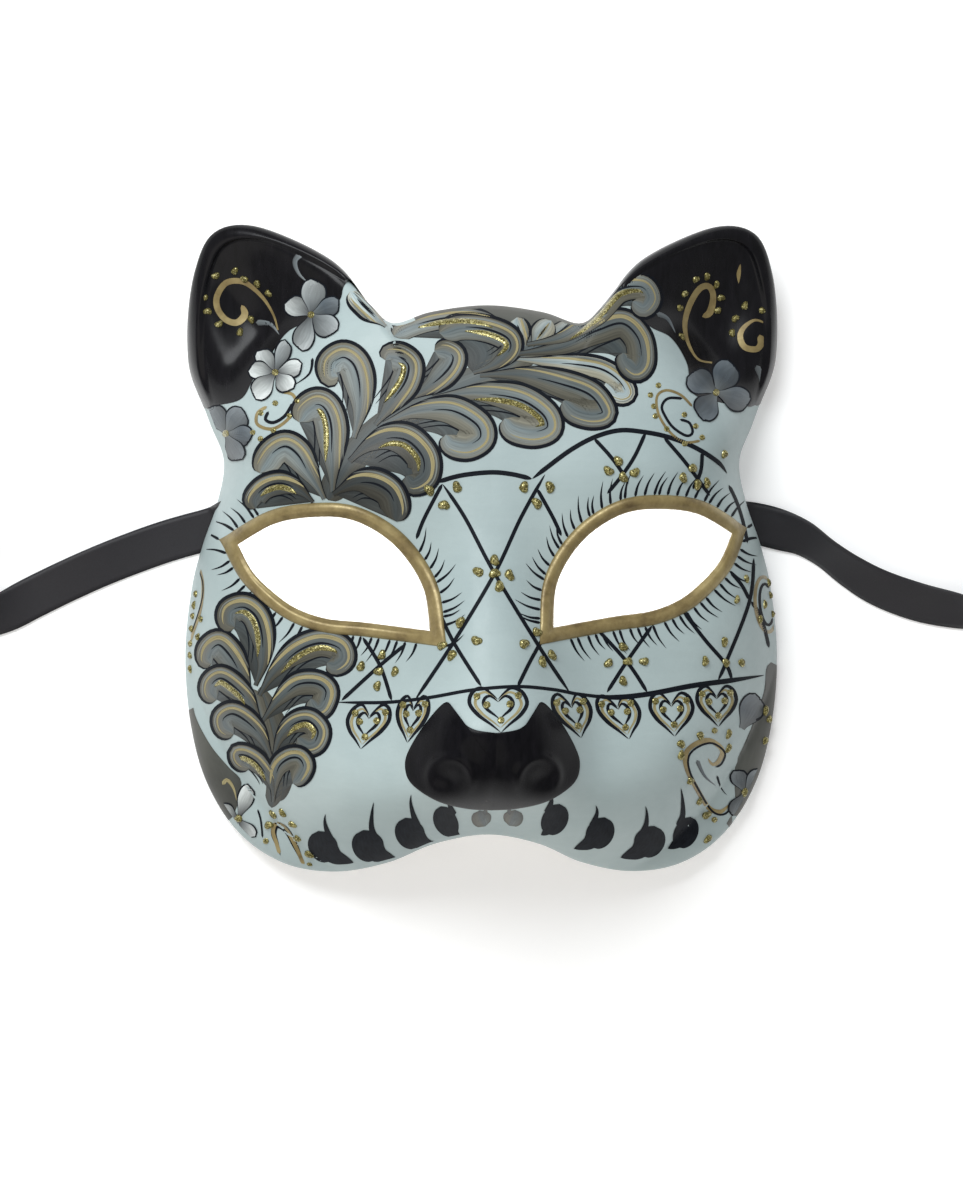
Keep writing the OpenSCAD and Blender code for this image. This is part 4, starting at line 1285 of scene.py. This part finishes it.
def paint_lashes():
    lashes = Painting("lashes")
    for side in (-1, 1):
        edge = outward(eye_edge(side), RIM_W - 0.1)
        run = np.concatenate([[0], np.cumsum(np.linalg.norm(np.diff(edge, axis=0), axis=1))])
        middle = edge.mean(axis=0)
        for at in np.arange(2.0, run[-1] - 2.0, LASH_EVERY):
            k = int(np.searchsorted(run, at))
            root = edge[k]
            if side < 0 and root[1] > 0 and PLUME_FOOT[0] < root[0] < PLUME_FOOT[1]:
                continue
            out = root - middle
            out /= np.hypot(*out)
            ahead = edge[min(k + 2, len(edge) - 1)] - edge[max(k - 2, 0)]
            square = np.array([-ahead[1], ahead[0]]) / (np.hypot(*ahead) + 1e-9)
            lean = np.array([0.55 * np.sign(middle[0]), 0.15 if square[1] > 0 else -0.25])
            way = square + lean + 0.15 * (grain.random(2) - 0.5)
            way /= np.hypot(*way)
            long = LASH_LONG * (0.8 + 0.4 * grain.random())
            bow = np.array([-way[1], way[0]]) * 0.5 * (1 if square[1] > 0 else -1) * np.sign(middle[0])
            eye_z = height(root[:1], root[1:])[0]
            start = np.array([root[0] * math.cos(YAW) + eye_z * math.sin(YAW), root[1]])
            spine = [start, start + way * long * 0.5 + bow, start + way * long]
            band(lashes.sheet("ink"), spine, 0.5, UNDER_LIFT, comma_form, tip=0.15, across=3)
    lashes.finish()


# ears: gold scrolls, flowers and commas
LEFT_SCROLL = [(-63, 68), (-64.5, 73), (-68, 78.5), (-73.5, 83), (-79, 83), (-82, 79), (-82, 75),
               (-79.5, 71.5), (-76, 70.5), (-73.5, 73), (-74.5, 76)]
RIGHT_SCROLL = [(71.5, 58), (67, 59), (64, 64), (63, 70), (64.5, 76), (67.5, 81), (70.5, 82), (72, 79),
                (71, 74), (68.5, 72.5)]
SIDE_SCROLL = [(88.5, 70.5), (85, 71.5), (81.5, 69), (80.5, 66), (82, 63), (85.5, 62.5), (87, 64.5),
               (86.5, 67)]


def paint_ears():
    left = Painting("left_ear")
    right = Painting("right_ear")
    on_lacquer = LACQUER_LIFT + 0.05
    for painting, scroll in ((left, LEFT_SCROLL), (right, RIGHT_SCROLL), (right, SIDE_SCROLL)):
        band(painting.sheet("gold"), scroll, 0.95, on_lacquer, scroll_form, tip=0.1)
    band(right.sheet("gold"), [(80.5, 89), (80, 86), (80, 83)], 0.7, on_lacquer, line_form, tip=0.5)
    flower(left, (-52.5, 72.5), [(150, 9, 3.3, 0.3), (84, 11, 4, 0.55), (22, 9.5, 3, 0.95),
                                 (-38, 9.5, 3.8, 0.6), (-108, 11.5, 3.4, 0.5)], 0.0, on_lacquer)
    flower(left, (-63.5, 54.5), [(126, 9, 2.8, 0.15), (170, 8.5, 2.8, 0), (228, 10, 3.4, 0),
                                 (12, 8.5, 2.8, 0), (-48, 7.5, 3, 0), (70, 10.5, 2.4, 0.55)], 0.0, on_lacquer)
    flower(left, (-79, 36), [(120, 10, 3.4, 0), (50, 9, 4, 0), (-10, 8.5, 3.2, 0.1), (-62, 9.5, 3, 0)], 0.9,
           on_lacquer)
    comma(left, [(-54, 92.5), (-57.5, 89.5), (-56.5, 85.5), (-53.5, 82.5)], 1.1, 0.8, lift=on_lacquer)
    comma(left, [(-70, 70.5), (-65.5, 70), (-62.5, 66.5)], 1.0, 0.8, lift=on_lacquer)
    comma(left, [(-52, 59), (-53, 54), (-58.5, 50)], 0.5, kind="ink")
    band(left.sheet("gold"), [(-61.5, 48.5), (-58, 47.5), (-57, 44), (-60, 39.5), (-64.5, 37),
                              (-69, 38.5), (-69, 42), (-66, 44)], 0.5, BASE_LIFT, even_form)
    band(left.sheet("ink"), [(-58, 45), (-60.5, 41), (-64, 39), (-66.5, 40), (-65.5, 42.5)], 0.5,
         OVER_LIFT, line_form)
    for spot in [(-63.5, 45), (-56.5, 45.5), (-59, 41), (-68, 42), (-70.5, 36), (-64, 36.5),
                 (-68, 34)]:
        dot(left, spot, 0.9, 0.3)
    flower(right, (72.5, 48.5), [(61, 11, 4.5, 0), (145, 10, 4.4, 0), (236, 9.5, 4.1, 0),
                                 (-15, 11, 4, -0.05)], 1.0, on_lacquer)
    comma(right, [(54, 73), (57.5, 71.5), (60, 67)], 0.9, 0.9, lift=on_lacquer)
    comma(right, [(85.5, 57.5), (87, 53), (86.5, 48)], 1.1, 0.8, lift=on_lacquer)
    band(right.sheet("gold"), [(67.5, 33.5), (62.5, 33), (58, 36), (54.5, 41.5), (54, 47),
                               (57, 49), (61.5, 47.5), (65, 44)], 0.4, BASE_LIFT, line_form)
    band(right.sheet("ink"), [(62, 46.5), (57.5, 46.5), (55.5, 44), (56.5, 41), (59, 37.5), (63, 35),
                              (65, 36), (64, 39), (61, 40)], 0.42, BASE_LIFT, line_form)
    for spot in [(54.5, 50.5), (52, 47.5), (53, 44), (53.5, 41), (57, 37), (62.5, 41.5),
                 (66, 38), (68, 34.5), (62.5, 32.5)]:
        dot(right, spot, 0.9, 0.3)
    left.finish()
    right.finish()


# grey patches at the cheeks' rims, where each ends on the face: black paint there, drawn grey-brown as
# painted reflection of the grazing view
LEFT_PATCH = [(-94.5, -43), (-91, -45.5), (-88.5, -53), (-84, -61), (-78.5, -67.5), (-74.5, -72),
              (-76, -80), (-80, -90)]
RIGHT_PATCH = [(94, -34), (89, -36), (88, -44), (84.5, -54), (81.5, -61), (79, -67), (79, -76.5),
               (80.5, -92)]
CHEEK_SCROLL = [(70, -64.5), (71.5, -66.5), (73.5, -65.5), (74.5, -62), (70.5, -59), (66, -60), (63, -63),
                (63.5, -68), (67.5, -75.5), (71, -80.5), (74.5, -81.5), (77.5, -79)]
LIP_SCROLL = [(-55, -98.5), (-57.5, -92.5), (-60.5, -87), (-63.5, -85.5), (-64.5, -88), (-63.5, -91.5),
              (-62.5, -95)]


def paint_cheeks():
    left = Painting("left_cheek")
    right = Painting("right_cheek")
    for painting, edge in ((left, LEFT_PATCH), (right, RIGHT_PATCH)):
        # painted reflection: the black paint at the cheek rims is drawn in the lighter stem tone
        rim_patch(painting.sheet("leaf"), edge, BASE_LIFT, STEM_TONE)
    lift = BASE_LIFT + 0.04
    flower(left, (-75.5, -83.5), [(70, 11, 2.5, 0), (150, 7, 2.4, 0.2), (225, 5, 2.2, 0.1),
                                  (-52, 7.5, 2.2, 0.3)], 0.0, lift)
    band(left.sheet("cream"), [(-80.5, -73), (-79, -71.5), (-77, -74), (-76, -78)], 0.7, lift,
         comma_form, 0.6)
    comma(left, [(-83, -76.5), (-82, -78.5), (-81, -81.5)], 0.8, 0.0, lift=lift)
    band(left.sheet("ink"), [(-69.5, -80.5), (-68.5, -84), (-68, -89.5)], 0.3, lift)
    band(left.sheet("ink"), LIP_SCROLL, 0.95, BASE_LIFT, line_form, tip=0.3)
    band(left.sheet("gold"), np.array(LIP_SCROLL) + [-0.2, 0.5], 0.6, OVER_LIFT, line_form)
    band(left.sheet("gold"), [(-87.5, -6), (-86.5, -10), (-86.5, -14.5), (-87.5, -20), (-89.5, -25.5),
                              (-90.5, -28.5)], 0.45, BASE_LIFT, line_form)
    band(left.sheet("ink"), [(-88, -6), (-86.5, -10), (-86.5, -14.5), (-88, -20), (-90, -25.5)], 0.2,
         OVER_LIFT, line_form)
    petal(right, (80.5, -56), 62, 12, 4.2, 1.0, lift)
    flower(right, (82, -75.5), [(112, 7.5, 2.6, 0), (52, 8, 2.6, 0), (245, 8.5, 2.8, 0),
                                (-35, 6, 2.4, 0.1)], 0.85, lift + 0.04)
    band(right.sheet("gold"), CHEEK_SCROLL, 0.75, BASE_LIFT, line_form, tip=0.1)
    band(right.sheet("ink"), np.array(CHEEK_SCROLL[1:]) + [0.9, -0.9], 0.32, OVER_LIFT, line_form)
    comma(right, [(66.5, -65), (69, -70), (73, -73.5)], 0.7, 1.0)
    comma(right, [(73, -70), (74.5, -74), (76.5, -76.5)], 0.4, kind="ink")
    ring = [(88.5 + 3.6 * math.cos(a) - 0.8 * math.sin(a), -17 + 8.6 * math.sin(a)) for a in
            np.linspace(1.1, 5.9, 14)]
    band(right.sheet("gold"), ring, 0.55, BASE_LIFT, line_form)
    inner = [(88.7 + 2.3 * math.cos(a) - 0.6 * math.sin(a), -17 + 6.4 * math.sin(a)) for a in
             np.linspace(0.9, 5.6, 14)]
    band(right.sheet("ink"), inner, 0.45, BASE_LIFT, line_form)
    for painting, spots in ((left, [(-67, -90.5), (-53.5, -98)]), (right, [(72.5, -84), (72, -56)])):
        for spot in spots:
            dot(painting, spot, 0.95, 0.45)
    left.finish()
    right.finish()


paint_leaves()
paint_lattice()
paint_teeth()
paint_lashes()
paint_ears()
paint_cheeks()

# ---------------------------------------------------------------- glitter beads, where the CAD has them

# places as seen from the front, and the same lists as in part.scad
BRIDGE_BEADS = [(-16, 18), (-7.5, 19), (-11.5, 13.5), (13, 19), (21, 19), (17, 14), (-1, -7), (8.5, -8),
                (4, -3.5), (5.5, -11.5), (4, -7.5), (-6.5, -22.5), (-1.5, -28), (-12, -29.5),
                (-9, -32.5), (13, -29), (17, -25.5), (21.5, -32.5), (18.5, -34.5)]
BROW_BEADS = [(39, 24), (47, 23.5), (42, 27), (43.5, 22), (62, 22), (65, 25), (66.5, 20), (69.5, 20.5),
              (75, 29.5)]
CHEEK_BEADS_LEFT = [(-37, -36), (-30.5, -32.5), (-26.5, -37.5), (-32, -42), (-31.5, -37.5),
                    (-64.5, -82), (-61.5, -81.5), (-58.5, -85), (-57, -89.5), (-66, -85.5), (-53.5, -94.5),
                    (-75.5, -83.5)]
CHEEK_BEADS_RIGHT = [(39, -35), (43.5, -30), (50, -34.5), (43.5, -40.5), (45, -34.5), (75, -28.5),
                     (69, -34.5), (80.5, -35), (75.5, -35), (67.5, -57.5), (61.5, -60), (61.5, -63.5),
                     (76.5, -57), (76.5, -61.5), (64.5, -71.5), (67.5, -78), (70, -82.5), (82, -75.5),
                     (70.5, -90), (88.5, -50), (90, -53), (90.5, -61)]
TEMPLE_BEADS_LEFT = [(-91, -14), (-91, -17.5), (-92, -21), (-92.5, -25), (-92, -29.5), (-91, -33),
                     (-92, -37.5), (-87, -21.5), (-88, -27)]
TEMPLE_BEADS_RIGHT = [(90.5, -10.5), (91.5, -14.5), (92.5, -20.5), (82, -9), (79, -15.5), (88, -17),
                      (86.5, -21.5)]
EAR_BEADS_LEFT = [(-82.5, 85), (-76.5, 86.5), (-73.5, 84), (-69.5, 82.5), (-66, 79.5), (-86, 78.5),
                  (-85, 74), (-81.5, 70), (-75, 67.5), (-71.5, 71.5)]
EAR_BEADS_RIGHT = [(66.5, 84), (70, 85), (73, 82.5), (74.5, 78.5), (73.5, 74.5), (63, 79.5), (61.5, 75),
                   (62, 66), (79, 72), (78, 67.5), (82, 76), (87.5, 74.5)]


def make_beads(name, node, spots, radius, lift=0.02):
    """Lumpy drops of gold glitter, square to the face."""
    sheet = Sheet()
    rings = np.array([1.0, 0.97, 0.86, 0.66, 0.36, 0.02])
    around = 18
    angle = np.arange(around) * 2 * math.pi / around
    for x, y, _ in seen(spots):
        spot_x, spot_y = np.array([x]), np.array([y])
        up = normal(spot_x, spot_y)[0]
        level = np.cross([0, 1, 0], up)
        level /= np.linalg.norm(level)
        other = np.cross(up, level)
        rough = 1 + 0.3 * (grain.random((len(rings), around)) - 0.5)
        lobes = 0.16 * np.sin(2 * angle + 6 * grain.random()) + 0.1 * np.sin(3 * angle + 6 * grain.random())
        r = radius * rings[:, None] * (1 + lobes + 0.1 * (grain.random(around) - 0.5))
        h = 0.7 * radius * np.sqrt(1 - rings ** 2)[:, None] * rough
        h[0] = -0.35
        foot = on_face(spot_x, spot_y, lift)[0]
        points = (foot + level * (r * np.cos(angle))[..., None] + other * (r * np.sin(angle))[..., None]
                  + up * h[..., None])
        sheet.grid(points, shut=True)
    sheet.piece(name, "glitter", GLITTER, (node,))


make_beads("glitter_bridge", "bridge_beads", BRIDGE_BEADS, 1.65)
make_beads("glitter_brow", "brow_beads", BROW_BEADS, 1.55)
make_beads("glitter_cheek_left", "cheek_beads_left", CHEEK_BEADS_LEFT, 1.45)
make_beads("glitter_cheek_right", "cheek_beads_right", CHEEK_BEADS_RIGHT, 1.45)
make_beads("glitter_temple_left", "temple_beads_left", TEMPLE_BEADS_LEFT, 1.2)
make_beads("glitter_temple_right", "temple_beads_right", TEMPLE_BEADS_RIGHT, 1.25)
make_beads("glitter_ear_left", "ear_beads_left", EAR_BEADS_LEFT, 1.2, LACQUER_LIFT)
make_beads("glitter_ear_right", "ear_beads_right", EAR_BEADS_RIGHT, 1.2, LACQUER_LIFT)

# ---------------------------------------------------------------- stage

WORLD_LIGHT = 0.42
EYE_POWER = 0.035
FLOOR_GLOW = 0.22
FLOOR_FAR = 12.0


def make_floor():
    mesh = bpy.data.meshes.new("floor")
    corners = [(x * FLOOR_FAR, y * FLOOR_FAR, 0) for x, y in ((-1, -1), (1, -1), (1, 1), (-1, 1))]
    mesh.from_pydata(corners, [], [(0, 1, 2, 3)])
    floor = bpy.data.objects.new("floor", mesh)
    bpy.context.collection.objects.link(floor)
    material, _, shader = new_material("floor_white", (0.92, 0.92, 0.92), 0.8)
    shader.inputs["Emission Color"].default_value = (1, 1, 1, 1)
    shader.inputs["Emission Strength"].default_value = FLOOR_GLOW
    mesh.materials.append(material)


def make_light(name, where, size, power, tint, aim=(0, 0, 0.03)):
    data = bpy.data.lights.new(name, "AREA")
    data.shape = "DISK"
    data.size = size
    data.energy = power
    data.color = tint
    light = bpy.data.objects.new(name, data)
    light.location = where
    way = np.array(aim) - np.array(where)
    light.rotation_euler = Vector(way).to_track_quat("-Z", "Y").to_euler()
    bpy.context.collection.objects.link(light)


def light_eyes():
    """Unseen lights inside the hollow, so that the floor seen through the eyes is as bright as outside."""
    for side in (-1, 1):
        data = bpy.data.lights.new("eye_light", "AREA")
        data.shape = "ELLIPSE"
        data.size, data.size_y = 0.066, 0.042
        data.energy = EYE_POWER
        light = bpy.data.objects.new("eye_light", data)
        light.location = (side * 0.047, -0.006, 0.030)
        light.visible_camera = False
        bpy.context.collection.objects.link(light)


def light_stage():
    world = bpy.data.worlds.new("studio")
    world.use_nodes = True
    background = world.node_tree.nodes["Background"]
    background.inputs["Color"].default_value = (1, 1, 1, 1)
    background.inputs["Strength"].default_value = WORLD_LIGHT
    bpy.context.scene.world = world
    bpy.context.scene.view_settings.view_transform = "Standard"
    make_light("key", (-0.45, 0.85, 1.2), 0.9, 20, (0.95, 0.98, 1.0))
    make_light("fill", (-0.6, -0.7, 1.1), 1.6, 5.5, (1.0, 0.95, 0.86))
    light_eyes()


make_floor()
light_stage()
